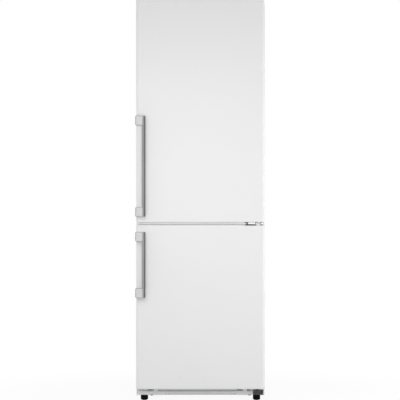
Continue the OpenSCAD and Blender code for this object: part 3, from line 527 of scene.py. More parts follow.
@dataclass(frozen=True)
class Palette:
    """Every finish of the refrigerator, by the record's slot or by its own name."""

    white_steel: Finish = Enamel(
        "door_enamel", (0.775, 0.775, 0.775), roughness=0.34, smear=0.03, cloud=0.006, grain=0.12,
        grain_scale=420.0, grain_depth=0.08, edge=1.0, coat=0.25, coat_roughness=0.16)
    back_sheet: Finish = Enamel(
        "back_coating", (0.62, 0.63, 0.63), roughness=0.45, cloud=0.03, grain=0.1, grain_scale=500.0,
        edge=0.6, dust=0.2)
    galvanised: Finish = Spangled(
        "zinc_sheet", (0.56, 0.57, 0.58), roughness=0.36, metallic=1.0, edge=0.5, dust=0.5)
    dark_steel: Finish = Finish(
        "dark_bracket", (0.055, 0.055, 0.058), roughness=0.42, cloud=0.1, grain=0.2, edge=0.7, coat=0.1)
    black_enamel: Finish = Enamel(
        "compressor_lacquer", (0.02, 0.02, 0.021), roughness=0.28, cloud=0.1, grain=0.25, grain_scale=350.0,
        edge=1.0, dust=0.7, coat=0.3)
    foam: Finish = Cellular(
        "rigid_foam", (0.74, 0.64, 0.36), roughness=0.85, cloud=0.06, grain=0.7, grain_depth=0.5)
    liner_plastic: Finish = Moulded(
        "liner_sheet", (0.78, 0.785, 0.79), roughness=0.3, smear=0.05, cloud=0.006, grain=0.05,
        grain_scale=1300.0, edge=1.2, subsurface=0.05, coat=0.08)
    white_plastic: Finish = Moulded(
        "white_moulding", (0.77, 0.77, 0.77), roughness=0.4, cloud=0.008, grain=0.1, grain_scale=1500.0,
        edge=0.5, subsurface=0.04)
    grey_plastic: Finish = Moulded("grey_moulding", (0.3, 0.31, 0.32), roughness=0.45, grain=0.12, edge=0.4)
    black_plastic: Finish = Moulded(
        "black_moulding", (0.011, 0.011, 0.011), roughness=0.5, cloud=0.1, grain=0.2, grain_scale=1100.0,
        edge=0.5, dust=0.25)
    clear_plastic: Finish = Clear(
        "clear_moulding", (0.93, 0.955, 0.965), roughness=0.06, smear=0.12, grain=0.02, edge=0.6,
        transmission=0.9, ior=1.46)
    frosted_plastic: Finish = Moulded(
        "frosted_lens", (0.9, 0.91, 0.92), roughness=0.5, grain=0.3, grain_scale=700.0, edge=0.5,
        transmission=0.75)
    shelf_glass: Finish = Clear(
        "shelf_glass", (0.9, 0.965, 0.945), roughness=0.02, smear=0.08, grain=0.01, edge=0.5,
        transmission=0.95, ior=1.52)
    seal_rubber: Finish = Moulded(
        "seal_vinyl", (0.6, 0.6, 0.6), roughness=0.6, cloud=0.03, grain=0.15, grain_scale=1000.0, edge=0.5)
    fin_aluminium: Finish = Brushed(
        "fin_aluminium", (0.72, 0.73, 0.74), roughness=0.35, metallic=1.0, stretch=(1.0, 1.0, 0.1),
        edge=0.2)
    bar_aluminium: Finish = Brushed(
        "bar_aluminium", (0.34, 0.34, 0.345), roughness=0.3, smear=0.04, metallic=1.0,
        stretch=(1.0, 1.0, 0.02), grain=0.25, edge=0.5)
    # Darker copy of the bar's aluminium: painted shade on the bar's flank and round the brackets' fronts.
    bar_flank: Finish = Brushed(
        "bar_flank", (0.15, 0.15, 0.155), roughness=0.34, smear=0.04, metallic=1.0,
        stretch=(1.0, 1.0, 0.02), grain=0.25, edge=0.5)
    bracket_silver: Finish = Finish(
        "bracket_silver", (0.62, 0.62, 0.625), roughness=0.36, cloud=0.02, grain=0.15, grain_scale=1500.0,
        edge=0.8, metallic=0.55, coat=0.2)
    screw_steel: Finish = Brushed("screw_zinc", (0.6, 0.6, 0.61), roughness=0.3, metallic=1.0, edge=0.3)
    copper: Finish = Tarnished("copper_tube", (0.72, 0.36, 0.22), roughness=0.32, metallic=1.0, edge=0.0)
    trim_grey: Finish = Moulded(
        "trim_moulding", (0.6, 0.605, 0.61), roughness=0.42, cloud=0.01, grain=0.1, edge=0.4)
    # Brighter copy of the white moulding: painted light that lifts parts sitting in the doors' shade.
    bright_white: Finish = Moulded(
        "shade_lifted_moulding", (0.93, 0.93, 0.93), roughness=0.4, cloud=0.008, grain=0.08, grain_scale=1500.0,
        edge=0.5)
    milky: Finish = Moulded(
        "milky_moulding", (0.84, 0.87, 0.89), roughness=0.22, cloud=0.008, grain=0.06, edge=0.5,
        transmission=0.35, ior=1.46)
    foot_rubber: Finish = Moulded(
        "foot_rubber", (0.003, 0.003, 0.003), roughness=0.62, cloud=0.1, grain=0.2, edge=0.3, specular=0.08)
    earth: Finish = Moulded("earth_sheath", (0.2, 0.42, 0.04), roughness=0.5, edge=0.0)
    cable: Finish = Moulded("cable_sheath", (0.02, 0.02, 0.02), roughness=0.55, edge=0.0)
    ink: Finish = Finish("grey_print", (0.16, 0.17, 0.18), roughness=0.5, edge=0.0, grain=0.02)
    ceramic: Finish = Finish("bulb_glass", (0.9, 0.9, 0.88), roughness=0.12, edge=0.0, coat=0.5)

    def of(self, slot: str) -> Finish:
        """Finish with that name."""
        return getattr(self, slot)


PALETTE = Palette()


def arc(centre: Flat, radius: float, start: float, stop: float, steps: int) -> list[Flat]:
    """Points of an arc.

    Args:
        centre: Its centre.
        radius: Its radius.
        start: Angle of the first point in degrees.
        stop: Angle of the last point in degrees.
        steps: Parts of the arc.

    Returns:
        One point more than there are parts.
    """
    angles = [math.radians(start + (stop - start) * step / steps) for step in range(steps + 1)]
    return [(centre[0] + radius * math.cos(a), centre[1] + radius * math.sin(a)) for a in angles]


def ring(
    x0: float, x1: float, y0: float, y1: float, r: float, steps: int = 5, splits: int = 0
) -> list[Flat]:
    """Rounded rectangle, anticlockwise from its lower left corner.

    Args:
        x0: Lowest first coordinate.
        x1: Highest first coordinate.
        y0: Lowest second coordinate.
        y1: Highest second coordinate.
        r: Radius of the corners.
        steps: Flats of each corner.
        splits: Further points on each straight side.

    Returns:
        Points of the outline.
    """
    corners = [(x0 + r, y0 + r, 180), (x1 - r, y0 + r, 270), (x1 - r, y1 - r, 0), (x0 + r, y1 - r, 90)]
    points: list[Flat] = []
    for index, (cx, cy, start) in enumerate(corners):
        points += arc((cx, cy), r, start, start + 90, steps)
        ax, ay = points[-1]
        nx, ny, turn = corners[(index + 1) % 4]
        bx, by = arc((nx, ny), r, turn, turn, 1)[0]
        for split in range(splits):
            share = (split + 1) / (splits + 1)
            points.append((ax + (bx - ax) * share, ay + (by - ay) * share))
    return points


def shifted(origin: Flat, points: Sequence[Flat]) -> list[Flat]:
    """Points given from an origin, as points of the plane."""
    return [(origin[0] + a, origin[1] + b) for a, b in points]


def lift(points: Sequence[Flat], axis: Axis, level: float) -> Ring:
    """Outline set in space, square to an axis.

    Args:
        points: The outline.
        axis: Axis that it is square to.
        level: Its place on that axis.

    Returns:
        Points of the outline in space.
    """
    if axis is Axis.Z:
        return [(a, b, level) for a, b in points]
    if axis is Axis.Y:
        return [(a, level, b) for a, b in points]
    return [(level, a, b) for a, b in points]


def drawn_out(outline: Sequence[Flat], axis: Axis, start: float, stop: float) -> bmesh.types.BMesh:
    """Closed part that an outline makes when it is drawn out.

    Args:
        outline: The outline.
        axis: Axis along which it is drawn out.
        start: Where it begins on that axis.
        stop: Where it ends.

    Returns:
        The part.
    """
    part = bmesh.new()
    low = [part.verts.new(p) for p in lift(outline, axis, start)]
    high = [part.verts.new(p) for p in lift(outline, axis, stop)]
    count = len(outline)
    for i in range(count):
        part.faces.new((low[i], low[(i + 1) % count], high[(i + 1) % count], high[i]))
    part.faces.new(low)
    part.faces.new(high)
    bmesh.ops.recalc_face_normals(part, faces=part.faces)
    return part


class Form:
    """Mesh under construction, in millimetres of the shared frame."""

    def __init__(self) -> None:
        """Start with an empty mesh."""
        self.mesh = bmesh.new()

    def take(self, part: bmesh.types.BMesh) -> "Form":
        """Move a part's faces into this form, with their normals to the outside.

        Args:
            part: The part, which is used up.

        Returns:
            This form.
        """
        bmesh.ops.recalc_face_normals(part, faces=part.faces)
        holder = bpy.data.meshes.new("part")
        part.to_mesh(holder)
        part.free()
        self.mesh.from_mesh(holder)
        bpy.data.meshes.remove(holder)
        return self

    @staticmethod
    def _round(part: bmesh.types.BMesh, edge: float, steps: int) -> None:
        """Bevel every sharp edge of a part.

        Args:
            part: The part.
            edge: Width of the rounded edges.
            steps: Parts of each rounded edge.
        """
        if edge <= 0:
            return
        least = math.radians(SHARP_EDGE)
        sharp = [e for e in part.edges if len(e.link_faces) == 2 and e.calc_face_angle() > least]
        bmesh.ops.bevel(
            part, geom=sharp, offset=edge, offset_type="OFFSET", segments=steps, profile=0.5,
            affect="EDGES", clamp_overlap=True)

    def slab(self, low: Point, high: Point, edge: float = 0.6, steps: int = 3) -> "Form":
        """Block with rounded edges between two corners.

        Args:
            low: Lowest corner.
            high: Highest corner.
            edge: Width of the rounded edges.
            steps: Parts of each rounded edge.

        Returns:
            This form.
        """
        part = bmesh.new()
        size = Vector(high) - Vector(low)
        centre = (Vector(high) + Vector(low)) / 2
        bmesh.ops.create_cube(
            part, size=1.0, matrix=Matrix.Translation(centre) @ Matrix.Diagonal((*size, 1.0)))
        self._round(part, min(edge, 0.49 * min(size)), steps)
        return self.take(part)

    def prism(
        self,
        outline: Sequence[Flat],
        axis: Axis,
        start: float,
        stop: float,
        edge: float = 0.0,
        steps: int = 3,
    ) -> "Form":
        """Draw an outline out along an axis, with rounded edges.

        Args:
            outline: The outline.
            axis: Axis along which it is drawn out.
            start: Where it begins on that axis.
            stop: Where it ends.
            edge: Width of the rounded edges.
            steps: Parts of each rounded edge.

        Returns:
            This form.
        """
        part = drawn_out(outline, axis, start, stop)
        self._round(part, edge, steps)
        return self.take(part)

    def loft(self, rings: Sequence[Ring], looped: bool = False) -> "Form":
        """Skin over rings of equal counts.

        Args:
            rings: The rings, in order.
            looped: Whether the last leads back to the first. Else flat caps close both ends.

        Returns:
            This form.
        """
        part = bmesh.new()
        rows = [[part.verts.new(p) for p in row] for row in rings]
        count = len(rows[0])
        pairs = list(zip(rows, rows[1:]))
        if looped:
            pairs.append((rows[-1], rows[0]))
        for low, high in pairs:
            for i in range(count):
                part.faces.new((low[i], low[(i + 1) % count], high[(i + 1) % count], high[i]))
        if not looped:
            part.faces.new(rows[0])
            part.faces.new(rows[-1])
        return self.take(part)

    def stack(
        self, axis: Axis, layers: Sequence[tuple[Sequence[Flat], float]], looped: bool = False
    ) -> "Form":
        """Skin over outlines that lie at levels along an axis.

        Args:
            axis: Axis that the outlines are square to.
            layers: Each outline with its level, all of equal counts.
            looped: Whether the last leads back to the first.

        Returns:
            This form.
        """
        return self.loft([lift(outline, axis, level) for outline, level in layers], looped=looped)

    def turned(
        self, profile: Sequence[Flat], axis: Axis, centre: Point, steps: int = 40, looped: bool = False
    ) -> "Form":
        """Turn a profile round an axis.

        Args:
            profile: Radius and height of each point.
            axis: Direction of the axis.
            centre: Point that the axis runs through, from which heights count.
            steps: Flats of the full turn.
            looped: Whether the profile closes on itself, as for a ring.

        Returns:
            This form.
        """
        turn = [(math.cos(a), math.sin(a)) for a in (2 * math.pi * i / steps for i in range(steps))]
        rings = []
        for radius, level in profile:
            row = lift([(radius * a, radius * b) for a, b in turn], axis, level)
            rings.append([tuple(c + o for c, o in zip(centre, offset)) for offset in row])
        return self.loft(rings, looped=looped)

    def tube(self, path: Sequence[Point], radius: float, sides: int = 12, bend: float = 0.0) -> "Form":
        """Round tube along a path, whose corners are rounded to a bend radius.

        Args:
            path: Corners of the path.
            radius: Radius of the tube.
            sides: Flats round it.
            bend: Radius of the path's bends.

        Returns:
            This form.
        """
        line = [Vector(p) for p in (fillet(path, bend) if bend else path)]
        across = (line[1] - line[0]).orthogonal().normalized()
        rings: list[Ring] = []
        for i, here in enumerate(line):
            along = (line[min(i + 1, len(line) - 1)] - line[max(i - 1, 0)]).normalized()
            across = (across - along * across.dot(along)).normalized()
            other = along.cross(across)
            rings.append([
                tuple(here + radius * (math.cos(a) * across + math.sin(a) * other))
                for a in (2 * math.pi * k / sides for k in range(sides))])
        return self.loft(rings)

    def cut(self, tool: "Form", operation: str = "DIFFERENCE") -> "Form":
        """Cut this form with another, or keep what both fill.

        Args:
            tool: The other form, which is used up.
            operation: Blender's name of the boolean.

        Returns:
            This form.
        """
        holders = [bpy.data.objects.new("cut", form.as_mesh("cut", 1.0)) for form in (self, tool)]
        for holder in holders:
            bpy.context.scene.collection.objects.link(holder)
        modifier = holders[0].modifiers.new("cut", "BOOLEAN")
        modifier.operation = operation
        modifier.solver = "EXACT"
        modifier.object = holders[1]
        bpy.context.view_layer.update()
        result = bpy.data.meshes.new_from_object(
            holders[0].evaluated_get(bpy.context.evaluated_depsgraph_get()))
        self.mesh = bmesh.new()
        self.mesh.from_mesh(result)
        for holder in holders:
            bpy.data.objects.remove(holder)
        return self

    def join(self, other: "Form") -> "Form":
        """Add another form as it is.

        Args:
            other: The other form, which is used up.

        Returns:
            This form.
        """
        made = other.as_mesh("joined", 1.0)
        self.mesh.from_mesh(made)
        bpy.data.meshes.remove(made)
        return self

    def as_mesh(self, name: str, scale: float = MM) -> bpy.types.Mesh:
        """Blender mesh of the form, which is used up.

        Args:
            name: Name of the mesh.
            scale: Its size against the form's.

        Returns:
            The mesh.
        """
        bmesh.ops.scale(self.mesh, vec=(scale, scale, scale), verts=self.mesh.verts)
        made = bpy.data.meshes.new(name)
        self.mesh.to_mesh(made)
        self.mesh.free()
        return made

    def piece(
        self,
        name: str,
        slot: str,
        finish: Finish | None = None,
        body: Body = Body.CABINET,
        instead_of: Sequence[str] = (),
    ) -> bpy.types.Object:
        """Finish the mesh as a piece of the refrigerator.

        Args:
            name: Name of the piece.
            slot: Material slot of the record that it belongs to.
            finish: Its finish, if that isn't the slot's own.
            body: Body that it rides on.
            instead_of: CAD nodes that it stands for.

        Returns:
            The piece.
        """
        mesh = self.as_mesh(name)
        mesh.shade_smooth()
        mesh.set_sharp_from_angle(angle=math.radians(SHARP_SHADE))
        made = bpy.data.objects.new(name, mesh)
        bpy.context.scene.collection.objects.link(made)
        even = made.modifiers.new("even", "WEIGHTED_NORMAL")
        even.keep_sharp = True
        mesh.materials.append((finish or PALETTE.of(slot)).material())
        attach(made, body.value)
        if instead_of:
            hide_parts(*instead_of)
        LOG.info("%s: %d faces on %s", name, len(mesh.polygons), body.value)
        return made


def fillet(path: Sequence[Point], bend: float, steps: int = 6) -> list[Point]:
    """Path with its corners rounded.

    Args:
        path: Corners of the path.
        bend: Radius of the bends.
        steps: Parts of each bend.

    Returns:
        Points of the rounded path.
    """
    points = [Vector(p) for p in path]
    line = [points[0]]
    for before, here, after in zip(points, points[1:], points[2:]):
        back, ahead = (before - here), (after - here)
        half = back.angle(ahead) / 2
        reach = min(bend / math.tan(half), 0.49 * back.length, 0.49 * ahead.length)
        start, stop = here + back.normalized() * reach, here + ahead.normalized() * reach
        for step in range(steps + 1):
            share = step / steps
            line.append((1 - share) ** 2 * start + 2 * share * (1 - share) * here + share ** 2 * stop)
    line.append(points[-1])
    return [tuple(p) for p in line]


@dataclass
class Studio:
    """Camera, lamps, white surroundings and the floor."""

    camera_y: float = -8.79
    camera_z: float = 0.933
    camera_x: float = -0.0023
    lens: float = 165.9
    sensor: float = 36.0
    far_clip: float = 60.0
    ambient: float = 0.533
    floor_size: float = 24.0
    floor_tone: float = 0.77
    near_glow: float = 0.92
    glow_span: Flat = (0.5, 1.6)

    def build(self) -> None:
        """Set up everything that isn't the refrigerator."""
        doors, middle = (0.0, -0.3, 0.95), (0.0, 0.0, 0.95)
        self._camera()
        self._world()
        self._lamp("key", (-0.35, -1.89, 1.18), 12.0, 1.0, doors)
        self._lamp("fill", (0.25, -1.89, 1.18), 1.5, 1.0, doors)
        self._lamp("right", (1.9, -0.7, 1.0), 18.0, 1.2, middle)
        self._lamp("left", (-2.0, 0.1, 1.0), 8.0, 1.2, middle)
        self._lamp("back", (0.0, 2.2, 1.0), 11.0, 1.2, middle)
        self._floor()
        bpy.context.scene.view_settings.view_transform = "Standard"

    def _camera(self) -> None:
        """Camera square to the doors, as in the photograph."""
        data = bpy.data.cameras.new("camera")
        data.lens = self.lens
        data.sensor_width = self.sensor
        data.clip_end = self.far_clip
        made = bpy.data.objects.new("camera", data)
        made.location = (self.camera_x, self.camera_y, self.camera_z)
        made.rotation_euler = (math.pi / 2, 0.0, 0.0)
        bpy.context.scene.collection.objects.link(made)
        bpy.context.scene.camera = made

    def _seen(self, graph: Graph) -> Signal:
        """1 for rays that show the surroundings themselves, in view, in a reflection or through glass.

        Args:
            graph: Graph that the nodes go into.

        Returns:
            The signal.
        """
        camera = graph.node("LightPath", output="Is Camera Ray")
        glossy = graph.node("LightPath", output="Is Glossy Ray")
        through = graph.node("LightPath", output="Is Transmission Ray")
        return (camera + glossy + through) > 0.5

    def _world(self) -> None:
        """Even light from all round, which looks white."""
        world = bpy.data.worlds.new("studio")
        world.use_nodes = True
        bpy.context.scene.world = world
        graph = Graph(world.node_tree)
        seen = self._seen(graph)
        strength = seen * (1.0 - self.ambient) + self.ambient
        light = graph.node("Background", inputs={"Color": (1.0, 1.0, 1.0, 1.0), "Strength": strength})
        graph.close(light, "OutputWorld")

    def _lamp(self, name: str, place: Point, power: float, size: float, aim: Point) -> None:
        """Soft lamp that looks at a point of the refrigerator.

        Args:
            name: Name of the lamp.
            place: Where it stands, in metres.
            power: Power in watts.
            size: Length of its sides in metres.
            aim: Point that it looks at, in metres.
        """
        data = bpy.data.lights.new(name, "AREA")
        data.energy = power
        data.size = size
        made = bpy.data.objects.new(name, data)
        made.location = place
        made.rotation_euler = (Vector(aim) - Vector(place)).to_track_quat("-Z", "Y").to_euler()
        made.visible_glossy = False
        made.visible_camera = False
        bpy.context.scene.collection.objects.link(made)

    def _floor(self) -> None:
        """Pale floor that keeps the refrigerator's shadow and fades into the white."""
        half = self.floor_size / 2
        part = bmesh.new()
        bmesh.ops.create_grid(part, x_segments=2, y_segments=2, size=half)
        mesh = bpy.data.meshes.new("floor")
        part.to_mesh(mesh)
        part.free()
        floor = bpy.data.objects.new("floor", mesh)
        bpy.context.scene.collection.objects.link(floor)
        material = bpy.data.materials.new("floor")
        material.use_nodes = True
        graph = Graph(material.node_tree)
        matt = graph.node("BsdfDiffuse", inputs={"Color": rgba(self.floor_tone)})
        glow = graph.node("Emission", inputs={"Color": (1.0, 1.0, 1.0, 1.0), "Strength": 1.0})
        far = graph.node("VectorMath", {"operation": "LENGTH"}, {0: graph.place()}, output="Value")
        share = self._seen(graph) * (far.clamped(*self.glow_span) * (1.0 - self.near_glow) + self.near_glow)
        graph.close(graph.node("MixShader", inputs={0: share, 1: matt, 2: glow}))
        mesh.materials.append(material)


class CarriedNodes:
    """CAD nodes that keep their shape and only get a finish."""

    def dress(self) -> None:
        """Give every node the finish of its slot, or white plastic."""
        slots = [entry["slot"] for entry in frame["record"]["materials"]]
        for name, node in frame["nodes"].items():
            worn = node.data.materials
            first = worn[0].name if worn else ""
            finish = PALETTE.of(next((slot for slot in slots if first.startswith(slot)), "white_plastic"))
            for index in range(len(worn)):
                worn[index] = finish.material()
            if not worn:
                worn.append(finish.material())
            LOG.info("%s: finish %s", name, finish.name)


def hinge_pocket() -> Form:
    """Room round the top hinge's arm, which is cut out of the upper door."""
    return Form().slab((225, -286.5, 1835.5), (300, -225, 1860), edge=1.5)


@dataclass
class DoorShell:
    """Outside of one door: the folded skin and the moulded caps at its ends."""

    prefix: str
    body: Body
    low: float
    high: float
    half: float = 297.5
    front: float = -290.5
    back: float = -230.5
    front_r: float = 12.0
    rear_r: float = 6.0
    sheet: float = 1.0
    fold: float = 14.0
    roll: float = 1.2
    cap_deep: float = 24.0
    corner_steps: int = 12
    low_rim: float = 0.0
    high_rim: float = 0.0
    pocket: bool = False
    pocket_cap_low: float = 1811.5
    strip_at: Flat | None = None
    strip_inset: float = 4.0
    strip_end: float = 205.0

    def outline(self, inset: float) -> list[Flat]:
        """Door seen from above.

        Args:
            inset: How far it is drawn in.

        Returns:
            Points of the outline.
        """
        rf, rb = self.front_r - inset, max(self.rear_r - inset, 0.5)
        x0, x1, y0, y1 = -self.half + inset, self.half - inset, self.front + inset, self.back - inset
        corners = [
            (x0 + rf, y0 + rf, rf, 180), (x1 - rf, y0 + rf, rf, 270), (x1 - rb, y1 - rb, rb, 0),
            (x0 + rb, y1 - rb, rb, 90)]
        points: list[Flat] = []
        for x, y, r, start in corners:
            points += arc((x, y), r, start, start + 90, self.corner_steps)
        return points

    def build(self) -> None:
        """Make the skin and the caps."""
        skin = self._skin()
        if self.pocket:
            skin.cut(hinge_pocket())
        skin.piece(
            f"{self.prefix}_skin_sheet", "white_steel", body=self.body, instead_of=[f"{self.prefix}_skin"])
        self._caps()

    def _skin(self) -> Form:
        """Sheet folded round the sides on to the back, its ends rolled in.

        Returns:
            The sheet.
        """
        low, high = self.low + self.low_rim, self.high - self.high_rim
        outer, drawn, inner = self.outline(0), self.outline(0.6), self.outline(self.sheet)
        form = Form().stack(
            Axis.Z, [(inner, low + 0.1), (drawn, low), (outer, low + self.roll), (outer, high - self.roll),
                     (drawn, high), (inner, high - 0.1)], looped=True)
        side = self.half - self.fold
        return form.cut(
            Form().slab((-side, self.back - 4, self.low - 5), (side, self.back + 2, self.high + 5), edge=0))

    def _caps(self) -> None:
        """Moulded end caps, with a rounded rim outside the skin."""
        inner, outer, near, drawn, blunt = map(self.outline, (self.sheet, 0.15, 0.6, 1.4, 2))
        low, high = self.low, self.high
        start = self.pocket_cap_low if self.pocket else high - self.cap_deep
        rim = high - self.high_rim
        rimmed = [
            (inner, start), (inner, rim - 0.3), (outer, rim + 0.3), (outer, high - 1.6), (near, high - 0.4),
            (drawn, high)]
        plain = [(inner, start), (inner, high - 0.8), (blunt, high)]
        top = Form().stack(Axis.Z, rimmed if self.high_rim else plain)
        if self.pocket:
            top.cut(hinge_pocket())
            top.cut(Form().turned([(4.4, 1810), (4.4, 1836), (5.2, 1837)], Axis.Z, (HINGE_X, HINGE_Y, 0)))
        rim = low + self.low_rim
        rimmed = [
            (drawn, low), (near, low + 0.3), (outer, low + 1.3), (outer, rim - 0.3), (inner, rim + 0.3),
            (inner, rim + self.cap_deep)]
        plain = [(blunt, low), (inner, low + 0.8), (inner, low + self.cap_deep)]
        foot = Form().stack(Axis.Z, rimmed if self.low_rim else plain)
        if self.strip_at:
            z0, z1 = self.strip_at
            strip = Form().prism(self.outline(self.strip_inset), Axis.Z, z0, z1, edge=0.8)
            strip.cut(Form().slab((self.strip_end, -400, z0 - 1), (400, 0, z1 + 1), edge=0))
            (foot if z1 <= low + 1 else top).join(strip)
        for name, cap in (("top", top), ("low", foot)):
            cap.piece(
                f"{self.prefix}_cap_{name}", "white_plastic", body=self.body,
                instead_of=[f"{self.prefix}_caps"])


@dataclass
class Handle:
    """Upright bar handle: bar, flank in a darker copy of its aluminium as painted shade, end plugs, and
    brackets round the door's edge with a band of painted shade round each front.
    """

    prefix: str
    body: Body
    low: float
    length: float
    replaces_nodes: tuple[str, ...]
    left: float = -269.4
    width: float = 16.2
    front: float = -334.5
    back: float = -314.5
    flat: float = 11.0
    bracket_h: float = 43.0
    bracket_w: float = 30.6
    lap: float = 3.6
    door_face: float = -290.4
    hug: float = -280.0
    bracket_back: float = -270.0
    bracket_r: float = 10.0
    corner_r: float = 5.5
    cap_r: float = 3.4
    cap_y: float = -296.0
    rim_side: float = 1.8
    rim_end: float = 1.0
    rim_depth: float = 12.0
    rim_r: float = 4.0

    def build(self) -> None:
        """Make the bar and the brackets."""
        self._bar()
        self._brackets()

    def _bar(self) -> None:
        """Bar of two faces, the front one bright and the flank in a darker copy of the same aluminium, which
        paints shade on it.
        """
        x, y = self.left, self.front
        high = self.low + self.length
        flat, width, deep = self.flat, self.width, self.back - y
        face = shifted(
            (x, y), [(0, deep), (0, 3), (0.8, 1.2), (2.4, 0.2), (5.5, 0), (flat, 0), (flat, deep)])
        bar = Form().prism(face, Axis.Z, self.low + 0.2, high - 0.2, edge=0.35, steps=2)
        for z0 in self._bracket_levels():
            bar.cut(
                Form().slab((x - 1, y - 1, z0 - 1), (x + self.lap, y + 1.8, z0 + self.bracket_h + 0.1),
                            edge=0))
        bar.piece(
            f"{self.prefix}_bar_face", "bar_aluminium", body=self.body, instead_of=self.replaces_nodes[:1])
        flank = shifted(
            (x, y), [(flat + 0.05, deep), (flat + 0.05, 0.02), (width - 1.6, 6.4), (width - 0.3, 8.4),
                     (width, 10.5), (width, deep)])
        # The flank takes the darker copy of the aluminium as painted shade.
        Form().prism(flank, Axis.Z, self.low + 0.2, high - 0.2, edge=0.35, steps=2).piece(
            f"{self.prefix}_bar_flank", "bar_aluminium", PALETTE.bar_flank, body=self.body)
        plug = shifted(
            (x, y),
            [(1.5, deep - 1.2), (1.5, 2.4), (flat, 1.5), (width - 1.8, 9), (width - 1.8, deep - 1.2)])
        plugs = Form()
        for z0, z1 in ((self.low, self.low + 1.4), (high - 1.4, high)):
            plugs.prism(plug, Axis.Z, z0, z1, edge=0.4, steps=2)
        plugs.piece(f"{self.prefix}_bar_plugs", "grey_plastic", body=self.body)

    def _bracket_levels(self) -> tuple[float, float]:
        """Lower edges of the two brackets."""
        return self.low, self.low + self.length - self.bracket_h

    def _brackets(self) -> None:
        """Cast brackets, rounded on their outer corners, with a sunk screw cap in each and a band of painted
        shade round each front.
        """
        left = self.left - self.bracket_w
        joined = Form()
        shade_bands = Form()
        for z0 in self._bracket_levels():
            bracket = self._bracket(z0).cut(self._rim_zone(z0))
            pocket = [(self.cap_r + 0.5, -2), (self.cap_r + 0.5, 1.4)]
            bracket.cut(Form().turned(pocket, Axis.X, (left, self.cap_y, z0 + self.bracket_h / 2), 28))
            joined.join(bracket)
            # Band cut from each bracket's front edge, in the darker aluminium: painted shade.
            shade_bands.join(self._bracket(z0).cut(self._rim_zone(z0), "INTERSECT"))
        joined.piece(
            f"{self.prefix}_brackets_cast", "bracket_silver", body=self.body,
            instead_of=self.replaces_nodes[-1:])
        shade_bands.piece(f"{self.prefix}_bracket_shade_bands", "bar_aluminium", PALETTE.bar_flank, body=self.body)
        caps = Form()
        for z0 in self._bracket_levels():
            profile = [(self.cap_r, 2.4), (self.cap_r, 0.7), (self.cap_r - 0.4, 0.4), (0.2, 0.4)]
            caps.turned(profile, Axis.X, (left, self.cap_y, z0 + self.bracket_h / 2), 28)
        caps.piece(f"{self.prefix}_screw_caps", "grey_plastic", body=self.body)

    def _rim_zone(self, z0: float) -> Form:
        """Zone of the painted shade band round a bracket's front, open towards the bar.

        Args:
            z0: Lower edge of the bracket.

        Returns:
            The zone.
        """
        left, right = self.left - self.bracket_w, self.left + self.lap + 1
        z1 = z0 + self.bracket_h
        inner = left + self.rim_side
        x, low, high = inner + self.rim_r, z0 + self.rim_end + self.rim_r, z1 - self.rim_end - self.rim_r
        outline = [
            (left - 1, z0 - 1), (right, z0 - 1), (right, z0 + self.rim_end),
            *arc((x, low), self.rim_r, 270, 180, 5), *arc((x, high), self.rim_r, 180, 90, 5),
            (right, z1 - self.rim_end), (right, z1 + 1), (left - 1, z1 + 1)]
        return Form().prism(outline, Axis.Y, self.front - 1, self.front + self.rim_depth)

    def _bracket(self, z0: float) -> Form:
        """One bracket, which wraps round the door's edge and holds the bar from the side and behind.

        Args:
            z0: Lower edge of the bracket.

        Returns:
            The bracket.
        """
        left, inner, front, back = self.left - self.bracket_w, self.left + self.lap, self.front, self.back
        r = self.bracket_r
        outline = [
            (self.left + 1.5, self.door_face), (left + 2.5, self.door_face), (left, self.hug),
            *arc((left + r, front + 1.5 + r), r, 180, 270, 8), (self.left - 4, front + 1.3),
            (inner - 0.8, front + 0.1), (inner - 0.1, front + 0.6), (inner - 0.1, front + 1.7),
            (self.left - 0.1, front + 1.7), (self.left - 0.1, back + 0.1), (self.left + 12, back + 0.1),
            (self.left + 12, back + 4.6), (self.left + 7, back + 7.2), (self.left + 1.5, back + 14)]
        form = Form().prism(outline, Axis.Z, z0, z0 + self.bracket_h, edge=1.2)
        side = ring(left, 0, z0, z0 + self.bracket_h, self.corner_r, steps=8)
        shape = Form().prism(side, Axis.Y, front - 1, self.bracket_back)
        return form.cut(shape, "INTERSECT")


@dataclass
class Seal:
    """Magnetic door seal: foot, bellows and magnet pocket, mitred in soft corners."""

    prefix: str
    body: Body
    half: float
    low: float
    high: float
    back: float = -230.5

    def build(self) -> None:
        """Sweep the seal's section round the door."""
        section: list[Flat] = [
            (0, 0), (0, 2.4), (-1.6, 3), (-3.6, 3.4), (-2.4, 5.4), (-3.8, 7.2), (-1.4, 8.4), (-0.6, 9.6),
            (-0.9, 11.2), (-2.2, 11.68), (-11.8, 11.68), (-13.1, 11.2), (-13.4, 9.6), (-12.6, 8.4),
            (-10.4, 7.4), (-11.8, 5.6), (-10.2, 3.6), (-12.4, 3), (-14, 2.4), (-14, 0)]
        layers = []
        for out, depth in section:
            r = max(12 + out, 0.6)
            loop = ring(-self.half - out, self.half + out, self.low - out, self.high + out, r, steps=4)
            layers.append((loop, self.back + depth))
        Form().stack(Axis.Y, layers, looped=True).piece(
            f"{self.prefix}_seal_profile", "seal_rubber", body=self.body,
            instead_of=[f"{self.prefix}_seal"])


def cad_box(node: str) -> tuple[Vector, Vector]:
    """Lowest and highest corner of a CAD node, in millimetres."""
    low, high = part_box(node)
    return low / MM, high / MM


